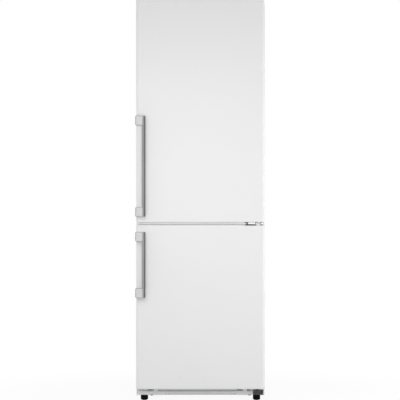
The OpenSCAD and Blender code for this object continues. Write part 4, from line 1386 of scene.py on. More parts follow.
@dataclass
class GlassShelf:
    """Toughened glass plate held by a moulded nose in front and a raised stop behind."""

    node: str
    thickness: float = 4.0
    corner: float = 8.0

    def build(self) -> None:
        """Make the plate and its two edges."""
        low, high = cad_box(self.node)
        z = low.z + self.thickness
        plate = ring(low.x + 0.2, high.x - 0.2, low.y + 4, high.y - 4, self.corner, steps=6)
        Form().prism(plate, Axis.Z, z, z + self.thickness, edge=0.7, steps=2).piece(
            f"{self.node}_plate", "shelf_glass", instead_of=[self.node])
        nose = self._nose(low.y, z, 1)
        stop = self._nose(high.y, z, -1)
        edges = Form().prism(nose, Axis.X, low.x + 0.1, high.x - 0.1, edge=0.8, steps=2)
        edges.prism(stop, Axis.X, low.x + 0.1, high.x - 0.1, edge=0.8, steps=2)
        edges.piece(f"{self.node}_edges", "white_plastic")

    def _nose(self, y: float, z: float, way: float) -> list[Flat]:
        """Section of an edge that starts at y and leads inwards."""
        shape = [
            (9.9, -4), (3.2, -4), (1.1, -3), (0.1, -0.8), (0, 2), (0.3, 5.2), (1.4, 7.3), (3.2, 8),
            (5.4, 7.6), (6.8, 6.2), (7.4, 4.7), (9.9, 4.3)]
        return [(y + way * out, z + up) for out, up in shape]


@dataclass
class Tray:
    """Moulded open tray with drafted walls, rounded corners and a rolled rim."""

    low: Point
    high: Point
    wall: float = 2.5
    corner: float = 9.0
    draft: float = 1.6
    splits: int = 10
    top: Callable[[float], float] | None = None

    def form(self) -> Form:
        """Skin of the tray, from its underside over the rim to its inner floor.

        Returns:
            The tray.
        """
        z0, z1 = self.low[2], self.high[2]
        wall, draft = self.wall, self.draft
        levels: list[tuple[float, float, bool]] = [
            (draft + 2.6, z0, False), (draft + 0.8, z0 + 0.7, False), (draft, z0 + 2.6, False),
            (0.9, -6, True), (0.1, -5, True), (0, -1, True), (0.7, -0.2, True), (1.6, 0, True),
            (wall, -0.3, True), (wall + 0.7, -1.2, True), (draft + wall, z0 + wall + 3.2, False),
            (draft + wall + 1, z0 + wall + 0.8, False), (draft + wall + 3.4, z0 + wall, False)]
        rings: list[Ring] = []
        for inset, level, at_top in levels:
            outline = ring(
                self.low[0] + inset, self.high[0] - inset, self.low[1] + inset, self.high[1] - inset,
                max(self.corner - inset, 1.5), steps=5, splits=self.splits)
            tops = [self.top(y) if self.top else z1 for _, y in outline]
            rings.append([(x, y, (top if at_top else 0) + level) for (x, y), top in zip(outline, tops)])
        return Form().loft(rings)


@dataclass
class DoorBin:
    """Door shelf: a clear tray with a lower front, hooked on the liner's rim."""

    node: str
    front_share: float = 0.3
    step_y: float = -183.5
    rib_half: int = 160
    rib_pitch: int = 40

    def build(self) -> None:
        """Make the tray, its ribs and a plain front band."""
        low, high = cad_box(self.node)
        drop = self.front_share * (high.z - low.z)

        def edge(y: float) -> float:
            """Height of the rim at a depth."""
            share = min(1, max(0, (y - self.step_y + 4) / 16))
            return high.z - drop * share * share * (3 - 2 * share)

        form = Tray(tuple(low), tuple(high), top=edge, corner=11).form()
        rim = high.z - drop
        for x in range(-self.rib_half, self.rib_half + 1, self.rib_pitch):
            form.slab((x - 1, high.y - 0.9, low.z + 8), (x + 1, high.y - 0.1, rim - 12), edge=0.3, steps=2)
        form.piece(f"{self.node}_tray", "clear_plastic", body=Body.UPPER_DOOR, instead_of=[self.node])
        section = shifted((high.y, rim),
                          [(-1.2, -6.4), (-0.3, -6), (-0.02, -3), (-0.3, -0.4), (-1.2, -0.1)])
        band = Form().prism(section, Axis.X, low.x + 14, high.x - 14, edge=0.3, steps=2)
        band.piece(f"{self.node}_band", "clear_plastic", PALETTE.trim_grey, body=Body.UPPER_DOOR)


@dataclass
class Drawer:
    """Sliding drawer: a clear tray behind a thicker front with a sunk panel and a hooked grip."""

    node: str
    body: Body
    front_t: float = 4.0
    frame_w: float = 12.0
    head: float = 26.0
    grip_share: float = 0.22
    rib_pitch: float = 34.0

    def build(self) -> None:
        """Make the tray and the front."""
        low, high = cad_box(self.node)
        front = low.y + 12
        tray_low = (low.x + 2, front + self.front_t - 2.5, low.z)
        tray_high = (high.x - 2, high.y, high.z - 12)
        form = Tray(tray_low, tray_high, splits=4).form()
        length = tray_high[1] - tray_low[1]
        for index in range(1, int(length / self.rib_pitch)):
            y = tray_low[1] + index * self.rib_pitch
            for x in (low.x + 2.3, high.x - 2.3 - 1.2):
                form.slab((x, y - 1.5, low.z + 9), (x + 1.2, y + 1.5, tray_high[2] - 12), edge=0.4, steps=2)
        form.piece(f"{self.node}_tray", "clear_plastic", body=self.body, instead_of=[self.node])
        self._front(low, high, front)

    def _front(self, low: Vector, high: Vector, front: float) -> None:
        """Front plate with a sunk panel, and the grip that hooks out of it.

        Args:
            low: Lowest corner of the drawer.
            high: Highest corner of the drawer.
            front: Depth of the plate's face.
        """
        x0, x1, z0, z1 = low.x, high.x, low.z, high.z
        plate = ring(x0, x1, z0, z1, 5)
        layers = [(plate, front + 4), (plate, front + 1.6)]
        for inset, r, depth in ((0.5, 4.5, 0.5), (1.6, 4, 0)):
            layers.append((ring(x0 + inset, x1 - inset, z0 + inset, z1 - inset, r), front + depth))
        for depth, inset in ((0, 0), (0.5, 0.6), (1.3, 1.2), (1.6, 2.6)):
            side = self.frame_w + inset
            layers.append(
                (ring(x0 + side, x1 - side, z0 + side, z1 - self.head - inset, 7 - inset), front + depth))
        form = Form().stack(Axis.Y, layers)
        grip = (x1 - x0) * self.grip_share
        middle = (x0 + x1) / 2
        hook = shifted(
            (front, z1), [(0.5, -4), (-8, -4.1), (-10.6, -5), (-11.9, -7.2), (-11.4, -8), (-9.8, -7.6),
                          (-8.2, -6.6), (0.5, -6.6)])
        form.prism(hook, Axis.X, middle - grip, middle + grip, edge=0.7, steps=2)
        form.piece(f"{self.node}_front", "clear_plastic", PALETTE.milky, body=self.body)


@dataclass
class Room:
    """Vacuum-formed liner of one room, with soft corners, a turned-out lip and ledges on its walls."""

    node: str
    outline: tuple[Flat, ...]
    half: float
    lip: tuple[float, float, float]
    ledges: tuple[tuple[float, float, float], ...]
    corner: float = 16.0
    front: float = -218.5
    sheet: float = 1.8

    def build(self) -> None:
        """Make the liner."""
        part = drawn_out(self.outline, Axis.X, -self.half, self.half)
        inner = [e for e in part.edges if min(e.verts[0].co.y, e.verts[1].co.y) > self.front + 1 or (
            abs(e.verts[0].co.y - e.verts[1].co.y) > 1)]
        bmesh.ops.bevel(
            part, geom=inner, offset=self.corner, offset_type="OFFSET", segments=6, profile=0.5,
            affect="EDGES", clamp_overlap=True)
        mouth = [f for f in part.faces if all(abs(v.co.y - self.front) < 0.01 for v in f.verts)]
        bmesh.ops.delete(part, geom=mouth, context="FACES")
        self._turn_out(part)
        bmesh.ops.reverse_faces(part, faces=part.faces)
        bmesh.ops.solidify(part, geom=part.faces, thickness=-self.sheet)
        form = Form().take(part)
        self._ledges(form)
        form.piece(f"{self.node}_shell", "liner_plastic", instead_of=[self.node])

    def _turn_out(self, part: bmesh.types.BMesh) -> None:
        """Extend the mouth outwards to the lip's rectangle.

        Args:
            part: The liner.
        """
        half, low, high = self.lip
        zs = [z for y, z in self.outline]
        z0, z1 = min(zs), max(zs)
        rim = [e for e in part.edges if len(e.link_faces) == 1]
        made = bmesh.ops.extrude_edge_only(part, edges=rim)["geom"]
        for vert in (v for v in made if isinstance(v, bmesh.types.BMVert)):
            if abs(vert.co.x) > self.half - self.corner - 0.01:
                vert.co.x = math.copysign(half, vert.co.x)
            if vert.co.z < z0 + self.corner + 0.01:
                vert.co.z = low
            if vert.co.z > z1 - self.corner - 0.01:
                vert.co.z = high
        bmesh.ops.remove_doubles(part, verts=part.verts, dist=0.01)

    def _ledges(self, form: Form) -> None:
        """Rounded ledges on both side walls."""
        for y0, y1, z in self.ledges:
            for side in (-1, 1):
                x0, x1 = sorted((side * (self.half - 9), side * (self.half + 1)))
                form.slab((x0, y0, z - 7), (x1, y1, z - 0.05), edge=2.6)


@dataclass
class DoorLiner:
    """Vacuum-formed liner of the upper door, with a raised rim round the shelves."""

    back: float = -230.5
    plate_half: float = 283.5
    plate_low: float = 831.7
    plate_high: float = 1848.8
    half: float = 221.0
    rim_w: float = 16.0
    rim_d: float = 45.0
    low: float = 862.25
    high: float = 1778.0

    def build(self) -> None:
        """Make the liner, with rounded rim and the lugs of the shelves."""
        y = self.back
        depth = y + self.rim_d
        plate = ring(-self.plate_half, self.plate_half, self.plate_low, self.plate_high, 4)

        def loop(inset: float, level: float, r: float) -> tuple[list[Flat], float]:
            """Layer drawn in from the rim's outside."""
            half = self.half - inset
            return ring(-half, half, self.low + inset, self.high - inset, max(r, 0.8)), level

        w = self.rim_w
        form = Form().stack(
            Axis.Y, [(plate, y - 1.9), (plate, y - 0.1), loop(-1.6, y - 0.1, 11), loop(-0.3, y + 1.2, 10),
                     loop(0, y + 4, 9.5), loop(0.2, depth - 4, 9), loop(1, depth - 1.4, 8.6),
                     loop(3.4, depth, 7), loop(w - 3.4, depth, 4), loop(w - 1, depth - 1.4, 3),
                     loop(w - 0.1, depth - 4, 2.4), loop(w, y + 4, 2), loop(w + 0.6, y + 1, 2),
                     loop(w + 2, y - 0.1, 2), loop(60, y - 0.1, 6), loop(60.6, y - 0.5, 5.6),
                     loop(62.4, y - 1.4, 4.6)])
        form.cut(hinge_pocket())
        inner = self.half - w
        for node in ("door_shelf_middle", "door_shelf_top"):
            z = cad_box(node)[0].z
            for side in (-1, 1):
                x0, x1 = sorted((side * (inner - 5), side * (inner + 1)))
                form.slab((x0, y - 0.5, z - 8), (x1, depth - 2, z - 0.05), edge=1.8)
        form.piece(
            "upper_door_liner_shell", "liner_plastic", body=Body.UPPER_DOOR,
            instead_of=["upper_door_liner"])


@dataclass
class FreezerDoorLiner:
    """Vacuum-formed liner of the lower door, with a raised panel and pressed channels."""

    back: float = -230.5
    half: float = 205.0
    low: float = 132.0
    high: float = 773.25
    channel_pitch: float = 148.0

    def build(self) -> None:
        """Make the liner."""
        low, high = cad_box("lower_door_liner")
        y = self.back

        def loop(inset: float, level: float, r: float) -> tuple[list[Flat], float]:
            """Layer drawn in from the panel's outside."""
            half = self.half - inset
            return ring(-half, half, self.low + inset, self.high - inset, max(r, 1)), level

        plate = ring(low.x, high.x, low.z + 0.2, high.z - 0.2, 4)
        form = Form().stack(
            Axis.Y, [(plate, y - 1.9), (plate, y - 0.1), loop(-2, y - 0.1, 16), loop(-0.4, y + 1, 15),
                     loop(0.4, y + 3, 14), loop(3, high.y - 2.4, 13), loop(5, high.y - 0.6, 12),
                     loop(8, high.y, 10)])
        for index in range(4):
            z0 = self.low + 40 + index * self.channel_pitch
            form.prism(ring(-150, 150, z0, z0 + 9, 4.4), Axis.Y, high.y - 1, high.y - 0.02)
        form.piece(
            "lower_door_liner_shell", "liner_plastic", body=Body.LOWER_DOOR,
            instead_of=["lower_door_liner"])


@dataclass
class KickStrip:
    """Kick strip: deeper ends with notches at the pads and the left foot, channel, clips, grey slabs of
    painted shade in the gaps, and pads; face and channel in a brighter white as painted light.
    """

    front: float = -228.5
    back: float = -218.7
    sheet: float = 2.6
    step: float = 165.0
    low: float = 27.0
    top: float = 45.0
    channel_low: float = 33.0
    channel_high: float = 41.0
    clip_x: float = 207.0
    clip_w: float = 18.0
    clip_top: float = 55.0
    pad_x: float = 227.0
    pad_z: float = 31.0
    pad_r: float = 7.6
    rise: float = 4.5
    foot_notch: tuple[float, float, float] = (-276.0, -245.0, 2.6)
    gap_spans: tuple[Flat, ...] = ((-244.0, -224.0), (170.0, 190.0), (216.5, 227.0))

    def build(self) -> None:
        """Make the strip, its channel, its pads and grey slabs of painted shade in the gaps beside its
        clips.
        """
        low, high = cad_box("plinth")
        form = Form().prism(
            self._face(low.x, high.x), Axis.Y, self.front, self.front + self.sheet, edge=0.9, steps=2)
        form.slab(
            (low.x + 0.5, self.front + 1, self.top - 2.4), (high.x - 0.5, self.back, self.top), edge=0.6)
        for x in (-self.clip_x, self.clip_x):
            half = self.clip_w / 2
            form.slab(
                (x - half, self.front + 0.6, self.top - 1), (x + half, self.front + 4, self.clip_top),
                edge=0.9)
        # The face takes the brighter white as painted light against the shade under the door.
        form.piece("kick_strip_face", "white_plastic", PALETTE.bright_white, instead_of=["plinth"])
        # The channel takes the brighter white too, as painted light.
        channel = Form().slab(
            (-self.step - 4, self.front + self.sheet - 0.6, self.channel_low),
            (self.step + 4, self.front + self.sheet + 1.6, self.channel_high + 2), edge=0.6)
        channel.piece("kick_strip_channel", "white_plastic", PALETTE.bright_white)
        self._pads()
        # Grey slabs set back in the gaps beside the clips: painted shade.
        gap_shades = Form()
        for x0, x1 in self.gap_spans:
            gap_shades.slab((x0, self.back - 2, self.top + 3), (x1, self.back - 0.6, self.clip_top + 5), edge=0.3)
        gap_shades.piece("kick_strip_gap_shades", "grey_plastic")

    def _face(self, left: float, right: float) -> list[Flat]:
        """Front outline: a low end on each side, with its notches, and a shallow middle.

        Args:
            left: Left end of the strip.
            right: Right end of the strip.

        Returns:
            Points of the outline.
        """
        half = self.pad_r + 1.6
        x0, x1, deep = self.foot_notch
        foot = [(x0, self.low), (x0 + 1, self.low + deep), (x1 - 1, self.low + deep), (x1, self.low)]
        ears: list[Flat] = []
        for way, outer, notches in ((1, left, foot), (-1, right, [])):
            pad, inner = -way * self.pad_x, -way * self.step
            ear = [
                (outer, self.low + 2), (outer + way * 2, self.low), *notches, (pad - way * half, self.low),
                (pad - way * (half - 1), self.low + self.rise),
                (pad + way * (half - 1), self.low + self.rise), (pad + way * half, self.low),
                (inner - way * 3, self.low), (inner + way * 2, self.channel_high)]
            ears += ear[::way]
        return [(left, self.top), *ears, (right, self.top)]

    def _pads(self) -> None:
        """Round pads, which show below the ends."""
        pads = Form()
        r = self.pad_r
        for x in (-self.pad_x, self.pad_x):
            pads.turned(
                [(r, 7), (r, 0.9), (r - 0.8, 0.1), (r - 2.1, 0.1), (r - 2.6, 0.8), (r - 2.8, 1.3),
                 (0.2, 1)], Axis.Y, (x, self.front + self.sheet, self.pad_z), 36)
        pads.piece("kick_strip_pads", "white_plastic", PALETTE.trim_grey)


@dataclass
class CentreRail:
    """Rail between the rooms, with the rounded nose that fills the gap between the doors."""

    half: float = 251.5
    low: float = 797.25
    high: float = 849.25
    face: float = -218.5
    nose_left: float = -291.0
    nose_right: float = 212.0
    nose_front: float = -283.0
    nose_z: Flat = (820.4, 826.1)

    def build(self) -> None:
        """Make the rail."""
        form = Form().slab(
            (-self.half, self.face, self.low), (self.half, self.face + 2, self.high), edge=0.5, steps=2)
        z0, z1 = self.nose_z
        front = self.nose_front
        section = [
            (self.face + 0.5, z0), *shifted((front, z0), [(2.4, 0), (0.7, 0.8), (0, 2.4)]),
            *shifted((front, z1), [(0, -2.4), (0.7, -0.8), (2.4, 0)]), (self.face + 0.5, z1)]
        nose = Form().prism(section, Axis.X, self.nose_left, self.nose_right, edge=0.8, steps=2)
        plan = [
            (self.nose_left - 1, self.face + 2), (self.nose_left - 1, front + 9),
            (self.nose_left + 1.2, front + 3.6), (self.nose_left + 6, front + 0.2),
            (self.nose_left + 9, front - 1), (self.nose_right + 1, front - 1),
            (self.nose_right + 1, self.face + 2)]
        nose.cut(Form().prism(plan, Axis.Z, z0 - 1, z1 + 1), "INTERSECT")
        form.join(nose)
        # The rail and its nose in the gap take the brighter white as painted light against the gap's shade.
        form.piece("centre_rail_sheet", "white_steel", PALETTE.bright_white, instead_of=["centre_rail"])


@dataclass
class ScrewHead:
    """Pan head with a cross recess."""

    radius: float = 5.0
    height: float = 2.5

    def form(self, place: Point, axis: Axis, way: float) -> Form:
        """One head.

        Args:
            place: Middle of its underside.
            axis: Axis along which it rises.
            way: 1 for up that axis, -1 for down it.

        Returns:
            The head.
        """
        r, h = self.radius, self.height
        profile = [
            (r * 0.96, 0), (r, way * h * 0.25), (r * 0.94, way * h * 0.55), (r * 0.7, way * h * 0.88),
            (r * 0.35, way * h), (0.1, way * h)]
        head = Form().turned(profile, axis, place, 28)
        reach, half = r * 0.6, r * 0.11
        corners = [
            (half, half), (half, reach), (-half, reach), (-half, half), (-reach, half), (-reach, -half),
            (-half, -half), (-half, -reach), (half, -reach), (half, -half), (reach, -half), (reach, half)]
        cross = [lift([corner], axis, 0)[0] for corner in corners]
        low, high = way * h * 0.45, way * (h + 1)
        rings = []
        for level in (low, high):
            step = lift([(0, 0)], axis, level)[0]
            rings.append([tuple(c + p + q for c, p, q in zip(place, point, step)) for point in cross])
        tool = Form().loft(rings)
        return head.cut(tool)


@dataclass
class HingeParts:
    """What goes over the CAD hinges: the top hinge's cover, the middle one's bushes and cap, screw heads."""

    bush_spans: tuple[Flat, ...] = ((815.6, 820.6), (825.9, 830.9))
    top_screws: tuple[Flat, ...] = ((-38.0, 22.0), (-38.0, 52.0), (-8.0, 52.0))
    top_z: float = 1841.0
    face: float = -218.5
    plate_face: float = -221.5
    middle_z: float = 823.25
    low_z: float = 39.0
    cap_span: Flat = (821.6, 830.2)
    cap_opening: float = 12.0

    def build(self) -> None:
        """Make the cover, the bushes, the screws and the cap."""
        low, high = cad_box("top_hinge_cover")
        cover = Form().slab(tuple(low), tuple(high), edge=3.6, steps=4)
        cover.cut(
            Form().slab((low.x + 2.5, low.y - 2, low.z - 2), (high.x - 2.5, high.y - 2.5, high.z - 2.5),
                        edge=2))
        cover.piece("top_hinge_cover_shell", "white_plastic", instead_of=["top_hinge_cover"])
        bushes = Form()
        for z0, z1 in self.bush_spans:
            profile = [(9.2, z0), (9.8, z0 + 0.6), (9.8, z1 - 0.6), (9.2, z1)]
            bushes.turned(profile, Axis.Z, (HINGE_X, HINGE_Y, 0))
        # Brighter white as painted light against the shade between the doors.
        bushes.piece("middle_hinge_bushes", "white_plastic", PALETTE.bright_white)
        heads, low_heads = Form(), Form()
        for across, depth in self.top_screws:
            heads.join(ScrewHead().form((HINGE_X + across, self.face + depth, self.top_z), Axis.Z, 1))
        for target, z, places in ((heads, self.middle_z, (-43, 18)), (low_heads, self.low_z, (-13, 18))):
            for across in places:
                target.join(ScrewHead().form((HINGE_X + across, self.plate_face, z), Axis.Y, -1))
        heads.piece("hinge_screw_heads", "screw_steel", instead_of=["hinge_screws"])
        # The lower hinge's screws are zinc, given the dark bracket finish as painted shade for the shadow
        # under the door.
        low_heads.piece("low_hinge_screw_heads", "screw_steel", PALETTE.dark_steel)
        self._cap()

    def _cap(self) -> None:
        """White cap over the middle hinge's arm, open where the bushes turn."""
        x, y = HINGE_X, HINGE_Y
        low, high = self.cap_span
        bush = self.cap_opening
        left = shifted(
            (x, y), [(-46, 8), (-46, -18), (-44, -20), (-bush - 2.5, -20), (-bush, -17.5), (-bush, 8)])
        right = shifted(
            (x, y), [(bush, 8), (bush, -13.5), (bush + 2.5, -16), (22, -15), (25.5, -10), (25.5, 8)])
        cap = Form().prism(left, Axis.Z, low, high, edge=1.2).prism(right, Axis.Z, low, high - 2, edge=1.2)
        cap.cut(Form().slab((x - 34, y - 9.5, 815), (x + 30, y + 20, 826), edge=0))
        # Brighter white as painted light against the shade between the doors.
        cap.piece("middle_hinge_cap", "white_plastic", PALETTE.bright_white)


@dataclass
class Foot:
    """Screwed foot: rubber pad, ribbed grip ring with a collar on it, and threaded stem."""

    node: str
    body: Body
    teeth: int = 36
    tooth_r: Flat = (16.5, 17.4)
    grip_z: Flat = (8.8, 23.4)
    thread_z: Flat = (31.0, 45.0)
    pitch: float = 1.5

    def build(self) -> None:
        """Make the foot."""
        low, high = cad_box(self.node)
        x, y = (low.x + high.x) / 2, (low.y + high.y) / 2
        form = Form().turned(
            [(0.2, 0), (9, 0), (10.2, 0.5), (16.6, 4.2), (17.4, 5.4), (17.4, 6.6), (16.2, 7.4), (16.2, 9)],
            Axis.Z, (x, y, 0), 48)
        cog = []
        for index in range(self.teeth * 2):
            angle = math.pi * index / self.teeth
            r = self.tooth_r[index % 2]
            cog.append((x + r * math.cos(angle), y + r * math.sin(angle)))
        form.prism(cog, Axis.Z, *self.grip_z, edge=0.3, steps=1)
        grip_top = self.grip_z[1]
        form.turned(
            [(16.4, grip_top), (15.4, 25.4), (13.8, 25.8), (14, 26.4), (14, 30.4), (13.2, 31.2),
             (0.2, 31.2)], Axis.Z, (x, y, 0), 48)
        form.piece(
            f"{self.node}_pad", "black_plastic", PALETTE.foot_rubber, body=self.body,
            instead_of=[self.node])
        level, stop = self.thread_z
        stem: list[Flat] = [(0.2, level)]
        while level < stop:
            stem += [(4.9, level), (4.3, level + self.pitch / 2)]
            level += self.pitch
        stem.append((0.2, stop + 1))
        Form().turned(stem, Axis.Z, (x, y, 0), 24).piece(
            f"{self.node}_stem", "black_plastic", PALETTE.screw_steel, body=self.body)


@dataclass
class DairyLid:
    """Clear lid over the top door shelf, with a rolled lip, ribs and its pins."""

    pin: Flat = (-222.5, 1603.09)
    half: float = 203.7
    sheet: float = 2.5
    rib_x: tuple[float, ...] = (-150.0, -100.0, -50.0, 0.0, 50.0, 100.0, 150.0)
    pin_x: float = 195.4

    def build(self) -> None:
        """Make the lid."""
        low, high = cad_box("dairy_lid")
        y0, z0 = self.pin
        t = self.sheet / 2
        section = [
            (y0 - 3, z0 - t), (y0 - 3, z0 + t), *shifted(
                (high.y, z0), [(-3, t), (-0.9, t - 0.5), (0, -0.6), (0, -7.4), (-0.6, -8), (-1.25, -7.4),
                               (-1.3, -2.6), (-2.4, -t)])]
        form = Form().prism(section, Axis.X, -self.half, self.half, edge=0.5, steps=2)
        for x in self.rib_x:
            form.slab(
                (x - 0.8, y0 + 6, z0 + t - 0.3), (x + 0.8, high.y - 10, z0 + t + 0.9), edge=0.3, steps=2)
        for side in (-1, 1):
            form.turned(
                [(0.1, 0), (2.5, 0), (2.5, side * 13), (2, side * 13.6), (0.1, side * 13.6)], Axis.X,
                (side * self.pin_x, y0, z0), 24)
        form.piece("dairy_lid_plate", "clear_plastic", body=Body.DAIRY_LID, instead_of=["dairy_lid"])


@dataclass
class ControlBox:
    """Box under the roof with the thermostat's knob, the lamp behind its ribbed lens and the door switch."""

    low: Point = (-160.0, -131.5, 1745.0)
    high: Point = (160.0, -1.5, 1786.8)
    wall: float = 2.5
    vents: int = 9
    vent_x: float = -148.0
    vent_pitch: float = 11.0
    lens: Flat = (-30.0, 120.0)
    bulb: Point = (62.0, -66.5, 1767.0)
    knob: Flat = (-85.0, 1766.0)
    flutes: int = 24
    digits: int = 8
    digit_turn: float = 38.0
    digit_h: float = 3.6
    digit_r: float = 15.1
    switch: Flat = (150.0, 1770.0)
    snout_front: float = -176.9

    def build(self) -> None:
        """Make the box, its lens, the lamp, the knob and the switch."""
        self._box()
        self._lens()
        self._lamp()
        self._knob()
        self._switch()

    def _box(self) -> None:
        """Moulded shell with vents, a sunk field round the knob and the switch's snout."""
        low, high, w = self.low, self.high, self.wall
        form = Form().slab(low, high, edge=5, steps=4)
        snout_low = (self.switch[0] - 12, self.snout_front, self.switch[1] - 12)
        snout = Form().slab(snout_low, (self.switch[0] + 9.4, low[1] + 8, high[2]), edge=2.4)
        form.join(snout)
        tool = Form().slab(
            (low[0] + w, low[1] + w, low[2] + w), (high[0] - w, high[1] - w, high[2] - w), edge=3)
        form.cut(tool)
        form.cut(
            Form().slab((self.lens[0], low[1] + 7.5, low[2] - 3),
                        (self.lens[1], high[1] - 7.5, low[2] + 7.5), edge=0))
        form.cut(
            Form().prism(ring(self.knob[0] - 24, self.knob[0] + 24, self.knob[1] - 19, self.knob[1] + 18.5,
                              8, steps=8), Axis.Y, low[1] - 2, low[1] + 0.8))
        slots = Form()
        for index in range(self.vents):
            x = self.vent_x + index * self.vent_pitch
            slots.slab((x, low[1] + 30, low[2] - 2), (x + 4, low[1] + 96, low[2] + 5), edge=1.4)
        form.cut(slots)
        form.cut(Form().turned([(5.3, -2), (5.3, 30)], Axis.Y, (self.switch[0], -177, self.switch[1]), 28))
        form.piece("control_box_shell", "white_plastic", instead_of=["control_housing"])
        mark = Form().prism(
            [(self.knob[0] + 19, self.knob[1]), (self.knob[0] + 22.4, self.knob[1] - 1.6),
             (self.knob[0] + 22.4, self.knob[1] + 1.6)], Axis.Y, low[1] + 0.55, low[1] + 0.85)
        mark.piece("thermostat_mark", "white_plastic", PALETTE.ink)

    def _lens(self) -> None:
        """Frosted lens, ribbed on its underside."""
        x0, x1 = self.lens[0] + 0.4, self.lens[1] - 0.4
        y0, y1 = self.low[1] + 7.9, self.high[1] - 7.9
        top, rib = self.low[2] + 4.6, 5
        face: list[Flat] = [(y0, top), (y0, self.low[2] + 0.6)]
        count = int((y1 - y0) / rib)
        for index in range(count):
            y = y0 + 1 + index * (y1 - y0 - 2) / count
            face += [
                (y + 0.6, self.low[2] - 0.4), (y + rib * 0.5, self.low[2] - 0.9),
                (y + rib - 0.6, self.low[2] - 0.4)]
        face += [(y1, self.low[2] + 0.6), (y1, top)]
        Form().prism(face, Axis.X, x0, x1).piece("lamp_lens", "frosted_plastic", instead_of=["light_lens"])

    def _lamp(self) -> None:
        """Pear-shaped bulb in its socket, lying behind the lens."""
        x, y, z = self.bulb
        bulb = [(0.1, 0), (6, 0.6), (10, 3.6), (12.4, 9), (12.8, 15), (11, 24), (8.6, 31), (7.2, 37)]
        Form().turned([(r, -level) for r, level in bulb], Axis.X, (x + 40, y, z), 36).piece(
            "lamp_bulb", "frosted_plastic", PALETTE.ceramic)
        thread: list[Flat] = [(0.1, 0)]
        for index in range(7):
            thread += [(7, -index * 2.2), (6.3, -index * 2.2 - 1.1)]
        thread += [(6.6, -15.4), (0.1, -15.4)]
        Form().turned(thread, Axis.X, (x + 3.4, y, z), 28).piece("lamp_cap", "screw_steel")
        Form().turned([(0.1, 0), (10.5, 0), (11, -1), (11, -18), (8, -24), (0.1, -24)], Axis.X,
                      (x - 9, y, z), 32).piece("lamp_socket", "white_plastic")

    def _knob(self) -> None:
        """Fluted knob with plain numbers on its skirt."""
        x, z = self.knob
        front = self.low[1] - 1
        form = Form().turned(
            [(0.1, 0), (16.4, 0), (17, -0.6), (17, -1.8), (16.2, -2.5), (13.2, -2.9), (12.9, -3.6),
             (12.6, -11.6), (12, -12.6), (10.8, -13), (0.1, -13.2)], Axis.Y, (x, front, z), 72)
        flutes = Form()
        for index in range(self.flutes):
            angle = 2 * math.pi * index / self.flutes
            flutes.turned(
                [(0.9, -13.5), (0.9, -4.2)], Axis.Y,
                (x + 13.2 * math.cos(angle), front, z + 13.2 * math.sin(angle)), 8)
        form.cut(flutes)
        form.prism(
            ring(x - 2.5, x + 2.5, z - 15.6, z + 15.6, 2.4, steps=6), Axis.Y, front - 14.95, front - 8,
            edge=0.8)
        form.turned([(0.1, -0.5), (3, -0.5), (3, 10.4), (0.1, 10.4)], Axis.Y, (x, front, z), 24)
        form.piece("thermostat_dial", "white_plastic", body=Body.KNOB, instead_of=["thermostat_knob"])
        line = Form().slab((x - 0.5, front - 15.1, z + 6), (x + 0.5, front - 14.8, z + 14.4), edge=0)
        line.join(self._numbers((x, front - 2.45, z)))
        line.piece("thermostat_numbers", "white_plastic", PALETTE.ink, body=Body.KNOB)

    def _numbers(self, skirt: Point) -> Form:
        """Numbers 0 to 7 round the knob's skirt.

        Args:
            skirt: Middle of the skirt's face.

        Returns:
            The numbers.
        """
        joined = Form()
        for digit in range(self.digits):
            curve = bpy.data.curves.new("digit", "FONT")
            curve.body = str(digit)
            curve.size = self.digit_h
            curve.extrude = 0.12
            curve.align_x = "CENTER"
            curve.align_y = "CENTER"
            holder = bpy.data.objects.new("digit", curve)
            bpy.context.scene.collection.objects.link(holder)
            bpy.context.view_layer.update()
            mesh = bpy.data.meshes.new_from_object(
                holder.evaluated_get(bpy.context.evaluated_depsgraph_get()))
            turn = Matrix.Rotation(math.radians(digit * self.digit_turn), 4, "Y")
            upright = Matrix.Rotation(math.pi / 2, 4, "X")
            mesh.transform(
                Matrix.Translation(skirt) @ turn @ Matrix.Translation((0, 0, self.digit_r)) @ upright)
            joined.mesh.from_mesh(mesh)
            bpy.data.objects.remove(holder)
            bpy.data.meshes.remove(mesh)
        return joined

    def _switch(self) -> None:
        """Push pin of the door switch, with a domed head."""
        x, z = self.switch
        Form().turned(
            [(0.1, -185.15), (4.4, -185.1), (6.2, -184.8), (6.95, -184.2), (6.95, -183.4), (5, -183),
             (5, -153.4), (4.4, -153), (0.1, -153)], Axis.Y, (x, 0, z), 36).piece(
            "door_switch_pin", "grey_plastic", body=Body.SWITCH, instead_of=["door_switch"])


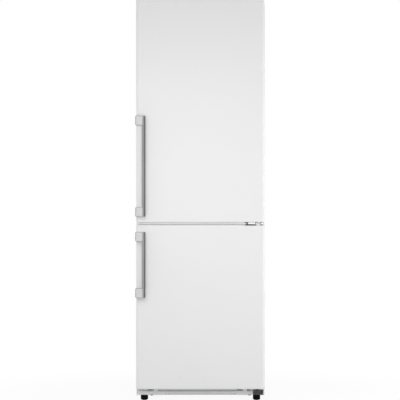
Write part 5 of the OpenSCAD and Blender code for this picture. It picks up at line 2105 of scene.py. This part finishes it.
@dataclass
class AirDuct:
    """Duct on the back wall of the cold room, with finned outlets and a drain gutter below."""

    half: float = 62.0
    front: float = 248.5
    back: float = 274.4
    low: float = 1055.25
    high: float = 1786.9
    cover: float = 1043.25
    pitch: float = 175.4375
    slot_share: float = 0.6
    outlets: int = 4
    outlet_x: Flat = (15.5, 57.0)
    outlet_h: float = 8.0

    def build(self) -> None:
        """Make the duct, its fins and the gutter."""
        outline = [
            (-self.half, self.back), (-self.half, self.front + 6), (-self.half + 1.6, self.front + 2.4),
            (-self.half + 6, self.front + 0.2), (-self.half + 9, self.front)]
        outline += [(-x, y) for x, y in reversed(outline)]
        form = Form().prism(outline, Axis.Z, self.low, self.high, edge=2)
        form.cut(
            Form().slab((-self.half + 2.5, self.front + 2.5, self.low + 2.5),
                        (self.half - 2.5, self.back - 2, self.high - 2.5)))
        form.cut(
            Form().prism(ring(-10, 10, self.low + 30, self.high - 30, 9.5, steps=8), Axis.Y, self.front - 2,
                         self.front + 0.9))
        tools, fins = Form(), Form()
        for index in range(self.outlets):
            z = self.cover + (index + self.slot_share) * self.pitch
            for side in (-1, 1):
                x0, x1 = sorted(side * x for x in self.outlet_x)
                tools.slab((x0, self.front - 3, z), (x1, self.front + 4, z + self.outlet_h), edge=1.8)
                for step in range(1, 4):
                    x = x0 + (x1 - x0) * step / 4
                    fins.slab(
                        (x - 0.7, self.front + 0.4, z - 1), (x + 0.7, self.front + 8, z + 9), edge=0.3,
                        steps=2)
                fins.slab(
                    (x0 - 1, self.front + 0.9, z + 3.5), (x1 + 1, self.front + 7, z + 4.5), edge=0.3,
                    steps=2)
        form.cut(tools)
        form.piece("air_duct_cover", "white_plastic", instead_of=["air_duct"])
        fins.piece("air_duct_fins", "white_plastic", PALETTE.trim_grey)
        self._drain()

    def _drain(self) -> None:
        """Gutter along the foot of the back wall with the drain's mouth."""
        y, z = 274.3, 1030
        gutter = shifted(
            (y, z), [(0, 6), (-7, 5), (-9, 2.5), (-9, 0), (-7.4, 0), (-7.2, 2), (-4, 0.4), (0, 0)])
        form = Form().prism(gutter, Axis.X, -150, 150, edge=0.5, steps=2)
        form.turned(
            [(3.2, -22), (4.6, -20), (4.6, 0.2), (7.6, 1.6), (7, 2.6), (3.8, 0.8), (3.2, -20)], Axis.Z,
            (0, y - 8.2, z), 28)
        form.piece("drain_gutter", "liner_plastic")


@dataclass
class FreezerBack:
    """Panel before the evaporator with a guard over the fan, pressed ribs and a return grille."""

    half: float = 231.5
    front: float = 198.5
    sheet: float = 3.0
    low: float = 306.0
    high: float = 792.2
    rear: float = 274.4
    fan_y: float = 207.5
    fan_z: float = 678.0
    mouth: float = 50.0
    grille_rows: int = 3
    grille_slots: int = 13
    grille_at: Flat = (-169.0, 333.0)
    grille_pitch: Flat = (26.0, 5.4)
    rib_x: tuple[float, ...] = (-190.0, -150.0, -110.0, 110.0, 150.0, 190.0)
    guard_radii: tuple[float, ...] = (14.0, 23.0, 32.0, 41.0, 51.0)
    spokes: int = 6
    blades: int = 5
    blade_reach: Flat = (16.0, 47.5)
    blade_section: tuple[Flat, ...] = (
        (-1.0, -0.4), (-0.4, -0.9), (0.4, -0.9), (1.0, -0.4), (1.0, 0.2), (0.4, 0.5), (-0.4, 0.5),
        (-1.0, 0.2))

    def build(self) -> None:
        """Make the panel, the guard and the fan."""
        plate = ring(-self.half, self.half, self.low, self.high, 3)
        face = ring(-self.half + 0.8, self.half - 0.8, self.low + 0.8, self.high - 0.8, 2.4)
        form = Form().stack(
            Axis.Y, [(plate, self.front + self.sheet), (plate, self.front + 0.8), (face, self.front)])
        tools = Form().turned([(self.mouth, -6), (self.mouth, 12)], Axis.Y, (0, self.front, self.fan_z), 72)
        for row in range(self.grille_rows):
            for index in range(self.grille_slots):
                x = self.grille_at[0] + index * self.grille_pitch[0]
                z = self.grille_at[1] + row * self.grille_pitch[1]
                tools.slab((x, self.front - 4, z), (x + 22, self.front + 8, z + 3.2), edge=1.2, steps=2)
        form.cut(tools)
        for side in (-1, 1):
            x0, x1 = sorted((side * (self.half - 3), side * self.half))
            form.slab((x0, self.front + 1, self.low + 0.3), (x1, self.rear, self.high - 0.3), edge=0.6)
        for x in self.rib_x:
            form.prism(
                ring(x - 4, x + 4, 400, 760, 3.9, steps=8), Axis.Y, self.front - 1.2, self.front + 0.5,
                edge=0.6, steps=2)
        form.piece("freezer_back_panel", "white_plastic", instead_of=["evaporator_cover"])
        guard = Form()
        for radius in self.guard_radii:
            half = 1.3 if radius < self.mouth else 2.6
            section = [
                (radius - half, -0.4), (radius - half, 1.4), (radius + half, 1.4), (radius + half, -0.4),
                (radius + half * 0.6, -1.2), (radius - half * 0.6, -1.2)]
            guard.turned(section, Axis.Y, (0, self.front, self.fan_z), 72, looped=True)
        guard.turned(
            [(0.1, 1.4), (9, 1.4), (9, -0.4), (7.6, -1.4), (0.1, -1.6)], Axis.Y,
            (0, self.front, self.fan_z), 40)
        for index in range(self.spokes):
            angle = math.radians(360 / self.spokes * index + 15)
            along = Vector((math.cos(angle), 0, math.sin(angle)))
            across = Vector((-along.z, 0, along.x)) * 1.2
            middle, ahead, behind = Vector(
                (0, self.front, self.fan_z)), Vector((0, -1, 0)), Vector((0, 1.2, 0))
            rings = []
            for reach in (7, 50):
                base = middle + along * reach
                corners = ((across, ahead), (-across, ahead), (-across, behind), (across, behind))
                rings.append([tuple(base + side + depth) for side, depth in corners])
            guard.loft(rings)
        guard.piece("fan_guard", "white_plastic", PALETTE.trim_grey)
        self._fan()

    def _fan(self) -> None:
        """Hub and five swept blades on their shaft."""
        y = self.fan_y
        form = Form().turned(
            [(0.1, 0.3), (9, 0), (15.5, 1), (17.4, 3), (18, 6), (18, 11.6), (17.2, 12), (0.1, 12)], Axis.Y,
            (0, y, self.fan_z), 48)
        form.turned([(0.1, 11), (2.5, 11), (2.5, 24.6), (0.1, 24.8)], Axis.Y, (0, y, self.fan_z), 20)
        for blade in range(self.blades):
            turn = math.radians(360 / self.blades * blade + 90)
            rings: list[Ring] = []
            for step in range(9):
                share = step / 8
                radius = self.blade_reach[0] + (self.blade_reach[1] - self.blade_reach[0]) * share
                spread = math.radians(26 + 10 * math.sin(math.pi * share * 0.8))
                row: Ring = []
                for side, thick in self.blade_section:
                    angle = turn + spread * side + 0.22 * share
                    lean = side * (4.6 - 1.4 * share)
                    row.append(
                        (radius * math.cos(angle), y + 6 + lean + thick,
                         self.fan_z + radius * math.sin(angle)))
                rings.append(row)
            form.loft(rings)
        form.piece("evaporator_fan_wheel", "grey_plastic", body=Body.FAN, instead_of=["evaporator_fan"])


@dataclass
class MachineRoom:
    """Bay behind the freezer: zinc lining, compressor with tubes and wires, drip tray and mains inlet."""

    centre: Flat = (70.0, 232.5)
    radius: float = 72.0
    low: float = 64.0
    high: float = 192.0
    ceiling: float = 249.8

    def build(self) -> None:
        """Make every piece of the bay."""
        self._lining()
        self._compressor()
        self._terminal_box()
        self._tubes()
        self._tray()
        self._inlet()
        self._wires()

    def _lining(self) -> None:
        """Folded zinc sheet before the foam, with beads pressed into it."""
        section = [
            (134.7, 52.1), (135.5, 52.1), (135.5, 248.2), (136.3, 249), (332, 249), (332, self.ceiling),
            (134.7, self.ceiling)]
        form = Form().prism(section, Axis.X, -296, 296)
        for x in (-200, -100, 230):
            form.prism(ring(x - 6, x + 6, 80, 225, 5.5, steps=8), Axis.Y, 135.2, 137, edge=0.8, steps=2)
        form.piece("machine_room_lining", "galvanised")

    def _compressor(self) -> None:
        """Drawn shell in two halves with the weld round it, on its foot plate and four grommets."""
        r, z0, z1 = self.radius, self.low, self.high
        seam = (z0 + z1) / 2 + 10
        profile = [
            (0.1, z0), (50, z0 + 0.2), (60, z0 + 2.6), (67, z0 + 8.6), (70.6, z0 + 18), (71.4, seam - 3),
            (73.6, seam - 2.4), (74, seam - 1), (73.4, seam + 0.4), (r - 1.2, seam + 1.4), (71, z1 - 30),
            (69.2, z1 - 19), (64.6, z1 - 9.4), (57, z1 - 3.8), (46, z1 - 1.2), (24, z1 - 0.2),
            (0.1, z1 - 0.1)]
        x, y = self.centre
        shell = Form().turned([(radius, level) for radius, level in profile], Axis.Z, (x, y, 0), 96)
        plate = Form().prism(
            ring(x - 88, x + 88, y - 43, y + 43, 12, steps=8), Axis.Z, z0 - 3, z0 + 2, edge=1)
        shell.join(plate)
        shell.piece("compressor_shell", "black_enamel", instead_of=["compressor"])
        rubbers, bolts = Form(), Form()
        for side_x in (-1, 1):
            for side_y in (-1, 1):
                place = (x + side_x * 78, y + side_y * 33, 52)
                rubbers.turned(
                    [(6, 0.1), (8, 0.4), (8, 4), (6.2, 5), (8, 6), (8, 9), (6.6, 9.2), (6.6, 13.8),
                     (8.6, 14.2), (8.6, 17), (7, 17.6), (3, 17.6)], Axis.Z, place, 32)
                bolts.turned(
                    [(3, 17.4), (7.4, 17.6), (7.4, 18.6), (2.4, 18.8), (2.4, 24), (0.1, 24.4)], Axis.Z,
                    place, 6)
        rubbers.piece("compressor_grommets", "black_plastic")
        bolts.piece("compressor_bolts", "screw_steel")

    def _terminal_box(self) -> None:
        """Cover over the start relay and the overload protector, held by a clip."""
        x = self.centre[0] - self.radius
        form = Form().slab((x - 22, 206.5, 97), (x + 14, 258.5, 152), edge=3.5)
        form.slab((x - 21, 211, 150), (x + 6, 254, 154.5), edge=1.4)
        for z in (108, 116, 124, 132):
            form.slab((x - 22.9, 218, z), (x - 21.6, 247, z + 3), edge=0.5, steps=2)
        form.piece("terminal_cover", "black_plastic")
        clip = [
            (x + 2, 204.8), (x - 23.6, 204.8), (x - 24, 205.6), (x - 24, 259.4), (x - 23.6, 260.2),
            (x + 2, 260.2), (x + 2, 259.2), (x - 23, 259.2), (x - 23, 205.8), (x + 2, 205.8)]
        Form().prism(clip, Axis.Z, 138, 143, edge=0.2, steps=1).piece("terminal_clip", "screw_steel")

    def _tubes(self) -> None:
        """Suction, discharge and filling tubes, the filter drier and the capillary's coil."""
        tubes = Form().tube(
            [(120, 270, 152), (146, 296, 152), (172, 300, 152), (172, 300, 249.6)], 4, bend=16)
        tubes.tube(
            [(126, 206, 108), (176, 176, 108), (208, 176, 108), (208, 176, 232), (236, 300, 236),
             (225, 327.6, 246), (225, 328.4, 262)], 3.2, bend=18)
        tubes.tube([(122, 188, 132), (140, 172, 132), (140, 166, 168)], 3.2, bend=8)
        tubes.turned(
            [(3.2, 0), (3.6, 1), (3.6, 6), (1.2, 12), (0.6, 16), (0.1, 16.2)], Axis.Z, (140, 166, 167), 20)
        tubes.tube([(-225, 328.4, 262), (-225, 327.6, 244), (-225, 306, 214), (-225, 302, 190)], 3, bend=12)
        drier = (-225, 302, 0)
        tubes.turned(
            [(3, 196), (3.4, 192), (9, 184), (9.4, 180), (9.4, 140), (9, 136), (2.4, 128), (2, 122),
             (0.1, 122)], Axis.Z, drier, 32)
        coil: list[Point] = [(-225, 302, 124), (-225, 302, 84)]
        turns, steps = 3, 24
        for index in range(turns * steps + 1):
            angle = math.pi + 2 * math.pi * index / steps
            coil.append((-203 + 22 * math.cos(angle), 272 - 22 * math.sin(angle) * 0.6, 76 + index * 0.12))
        coil += [(-240, 240, 110), (-250, 200, 180), (-250, 180, 249.6)]
        tubes.tube(coil[:2] + [(-225, 290, 77)] + coil[2:], 1.3, sides=8)
        tubes.piece("copper_tubes", "screw_steel", PALETTE.copper)

    def _tray(self) -> None:
        """Drip tray on the compressor, with the drain hose above it."""
        low, high = cad_box("drip_tray")
        Tray(tuple(low), tuple(high), corner=12, splits=0).form().piece(
            "drip_tray_shell", "white_plastic", instead_of=["drip_tray"])
        hose = Form().tube([(36, 196, 249.6), (36, 196, 232), (44, 202, 208)], 7, sides=20, bend=12)
        hose.piece("drain_hose", "grey_plastic")

    def _inlet(self) -> None:
        """Mains inlet with its three blades, on the post of the base."""
        low, high = cad_box("mains_inlet")
        middle = (low.x + high.x) / 2
        form = Form().slab((low.x, low.y, 92), (high.x, high.y, high.z), edge=2.2)
        form.slab((middle - 12.5, low.y, low.z), (middle + 12.5, low.y + 2.5, 94), edge=0.6)
        mouth = shifted(
            (middle, 0), [(-12.5, 96), (12.5, 96), (12.5, 111), (8, 116), (-8, 116), (-12.5, 111)])
        form.cut(Form().prism(mouth, Axis.Y, high.y - 16, high.y + 2))
        form.piece("inlet_body", "black_plastic", instead_of=["mains_inlet"])
        blades = Form()
        for x, z in ((middle - 7, 103), (middle + 7, 103), (middle, 108.6)):
            blades.slab((x - 1, high.y - 17, z - 2), (x + 1, high.y - 3, z + 2), edge=0.5)
        blades.piece("inlet_blades", "screw_steel")

    def _wires(self) -> None:
        """Wires from the terminal box to the inlet and up into the foam."""
        wires = Form().tube(
            [(-22, 240, 120), (-60, 240, 112), (-110, 262, 60), (-170, 262, 60), (-196, 264, 76),
             (-200, 270, 106), (-200, 288, 106)], 3.6, bend=22)
        wires.tube([(-10, 226, 150), (-12, 226, 176), (-40, 200, 210), (-40, 190, 249.6)], 2.6, bend=14)
        wires.piece("wiring_harness", "black_plastic", PALETTE.cable)
        earth = Form().tube(
            [(-18, 216, 118), (-54, 196, 90), (-90, 180, 58), (-100, 176, 53)], 1.6, sides=10, bend=20)
        earth.piece("earth_wire", "black_plastic", PALETTE.earth)


@dataclass
class CabinetSheets:
    """Painted sides with notches over the feet, painted top, and the back sheet with its pressed beads."""

    half: float = 297.5
    front: float = -218.5
    back: float = 334.5
    sheet: float = 1.2
    low: float = 26.0
    high: float = 1837.0
    flange: float = 251.5
    bend: float = 3.0
    top_flange_low: float = 1793.0
    notch_x: float = 261.5
    notch_half: float = 15.5
    notch_top: float = 32.0
    bead_x: tuple[float, ...] = (-200.0, -100.0, 0.0, 100.0, 200.0)
    bead_spans: tuple[Flat, ...] = ((330.0, 1010.0), (1070.0, 1760.0))
    screw_x: float = 288.0
    screw_z: tuple[float, ...] = (270.0, 580.0, 890.0, 1200.0, 1510.0, 1820.0)

    def build(self) -> None:
        """Make the sheets and the screws along the back."""
        for side, node in ((-1, "side_panel_left"), (1, "side_panel_right")):
            outline = [(side * x, y) for x, y in self._side()]
            form = Form().prism(outline, Axis.Z, self.low, self.high - self.sheet - 0.02)
            x0, x1 = sorted(
                (side * (self.notch_x - self.notch_half), side * (self.notch_x + self.notch_half)))
            form.cut(
                Form().slab((x0, self.front - 2, self.low - 2), (x1, self.front + 2.6, self.notch_top),
                            edge=0))
            form.piece(f"{node}_sheet", "white_steel", instead_of=[node])
        self._top()
        self._back()

    def _side(self) -> list[Flat]:
        """Section of the right side, with its front edge rolled round.

        Returns:
            Points of the section.
        """
        bend, t, half = self.bend, self.sheet, self.half
        back = self.back - t
        centre = (half - bend, self.front + bend)
        outer, inner = arc(centre, bend, 0, -90, 6), arc(centre, bend - t, -90, 0, 6)
        return [
            *outer, (self.flange, self.front), (self.flange, self.front + t), *inner, (half - t, back - t),
            (half - 14, back - t), (half - 14, back), (half - 1, back), (half - 0.3, back - 0.3),
            (half, back - 1)]

    def _top(self) -> None:
        """Top sheet with its front edge turned down between the sides."""
        t, high = self.sheet, self.high
        form = Form().slab(
            (-self.half, self.front, high - t), (self.half, self.back, high), edge=0.5, steps=2)
        bend, low = self.bend, self.top_flange_low
        outline = [
            *arc((self.front + bend, high - bend), bend, 90, 180, 6), (self.front, low),
            (self.front + t, low), (self.front + t, high - t), (self.front + bend, high - t)]
        form.prism(outline, Axis.X, -self.flange, self.flange)
        form.piece("top_sheet", "white_steel", instead_of=["top_panel"])

    def _back(self) -> None:
        """Back sheet with beads sunk into it, and its screws."""
        low, high = cad_box("back_panel")
        plate = ring(low.x, high.x, low.z, high.z, 1, steps=1)
        face = ring(low.x + 0.3, high.x - 0.3, low.z + 0.3, high.z - 0.3, 1, steps=1)
        form = Form().stack(Axis.Y, [(plate, high.y - 2.2), (plate, high.y - 0.3), (face, high.y)])
        beads = Form()
        for x in self.bead_x:
            for z0, z1 in self.bead_spans:
                outline = ring(x - 16, x + 16, z0, z1, 15.5, steps=8)
                deeper = ring(x - 13, x + 13, z0 + 3, z1 - 3, 12.5, steps=8)
                layers = [(outline, high.y + 1), (outline, high.y - 0.05), (deeper, high.y - 1.3)]
                beads.stack(Axis.Y, layers)
        form.cut(beads)
        form.piece("back_sheet", "back_sheet", instead_of=["back_panel"])
        screws = Form()
        for x in (-self.screw_x, self.screw_x):
            for z in self.screw_z:
                screws.join(ScrewHead(4, 1.95).form((x, high.y - 2, z), Axis.Y, 1))
        screws.piece("back_screws", "screw_steel")


@dataclass
class Roller:
    """Rear roller with a ribbed hub and a rounded tread."""

    node: str
    body: Body

    def build(self) -> None:
        """Make the roller."""
        low, high = cad_box(self.node)
        centre = ((low.x + high.x) / 2, (low.y + high.y) / 2, (low.z + high.z) / 2)
        half = (high.x - low.x) / 2
        profile = [
            (3.2, -half), (6, -half), (6.6, -half + 1.4), (14.6, -half + 2.4), (15.4, -half + 0.6),
            (18.6, -half + 0.3), (19.7, -half + 1.6), (20, -half + 4), (20, half - 4), (19.7, half - 1.6),
            (18.6, half - 0.3), (15.4, half - 0.6), (14.6, half - 2.4), (6.6, half - 1.4), (6, half),
            (3.2, half)]
        Form().turned(profile, Axis.X, centre, 56, looped=True).piece(
            f"{self.node}_wheel", "black_plastic", body=self.body, instead_of=[self.node])


def main() -> None:
    """Build the refrigerator and its studio in order."""
    logging.basicConfig(level=logging.INFO, format="%(message)s")
    Studio().build()
    CarriedNodes().dress()
    upper_strip, lower_strip = (827.5, 831.6), (814.9, 819)
    DoorShell(
        "upper_door", Body.UPPER_DOOR, 831.5, 1855, high_rim=6, pocket=True, strip_at=upper_strip).build()
    DoorShell("lower_door", Body.LOWER_DOOR, 61, 815, low_rim=4, strip_at=lower_strip).build()
    Handle("upper", Body.UPPER_DOOR, 856.5, 463, ("upper_handle_bar", "upper_handle_brackets")).build()
    Handle("lower", Body.LOWER_DOOR, 484, 302, ("lower_handle",)).build()
    Seal("upper_door", Body.UPPER_DOOR, 263.5, 834.25, 1811).build()
    Seal("lower_door", Body.LOWER_DOOR, 263.5, 88, 812.25).build()
    CabinetSheets().build()
    shelf_y = (-131.5, 237.5)
    Room("fridge_liner", ((-218.5, 853.25), (274.5, 853.25), (274.5, 1787), (-218.5, 1787)), 242.5,
         (251.5, 849.25, 1793), tuple((*shelf_y, 1043.25 + index * 175.4375) for index in range(4))).build()
    Room(
        "freezer_liner",
        ((-218.5, 112), (79.5, 112), (79.5, 305), (274.5, 305), (274.5, 793.25), (-218.5, 793.25)), 232.5,
        (251.5, 104, 797.25), ((-193.5, 79.5, 305), (-193.5, 197.5, 544))).build()
    for node in ("crisper_cover", "glass_shelf_1", "glass_shelf_2", "glass_shelf_3"):
        GlassShelf(node).build()
    for node in ("bottle_shelf", "door_shelf_middle", "door_shelf_top"):
        DoorBin(node).build()
    DairyLid().build()
    DoorLiner().build()
    FreezerDoorLiner().build()
    freezer = (Body.DRAWER_TOP, Body.DRAWER_MIDDLE, Body.DRAWER_LOW)
    for body in (Body.CRISPER_LEFT, Body.CRISPER_RIGHT, *freezer):
        Drawer(body.value, body).build()
    ControlBox().build()
    AirDuct().build()
    FreezerBack().build()
    MachineRoom().build()
    KickStrip().build()
    CentreRail().build()
    HingeParts().build()
    for body in (Body.FOOT_LEFT, Body.FOOT_RIGHT):
        Foot(body.value, body).build()
    for body in (Body.ROLLER_LEFT, Body.ROLLER_RIGHT):
        Roller(body.value, body).build()


if __name__ == "__main__":
    main()
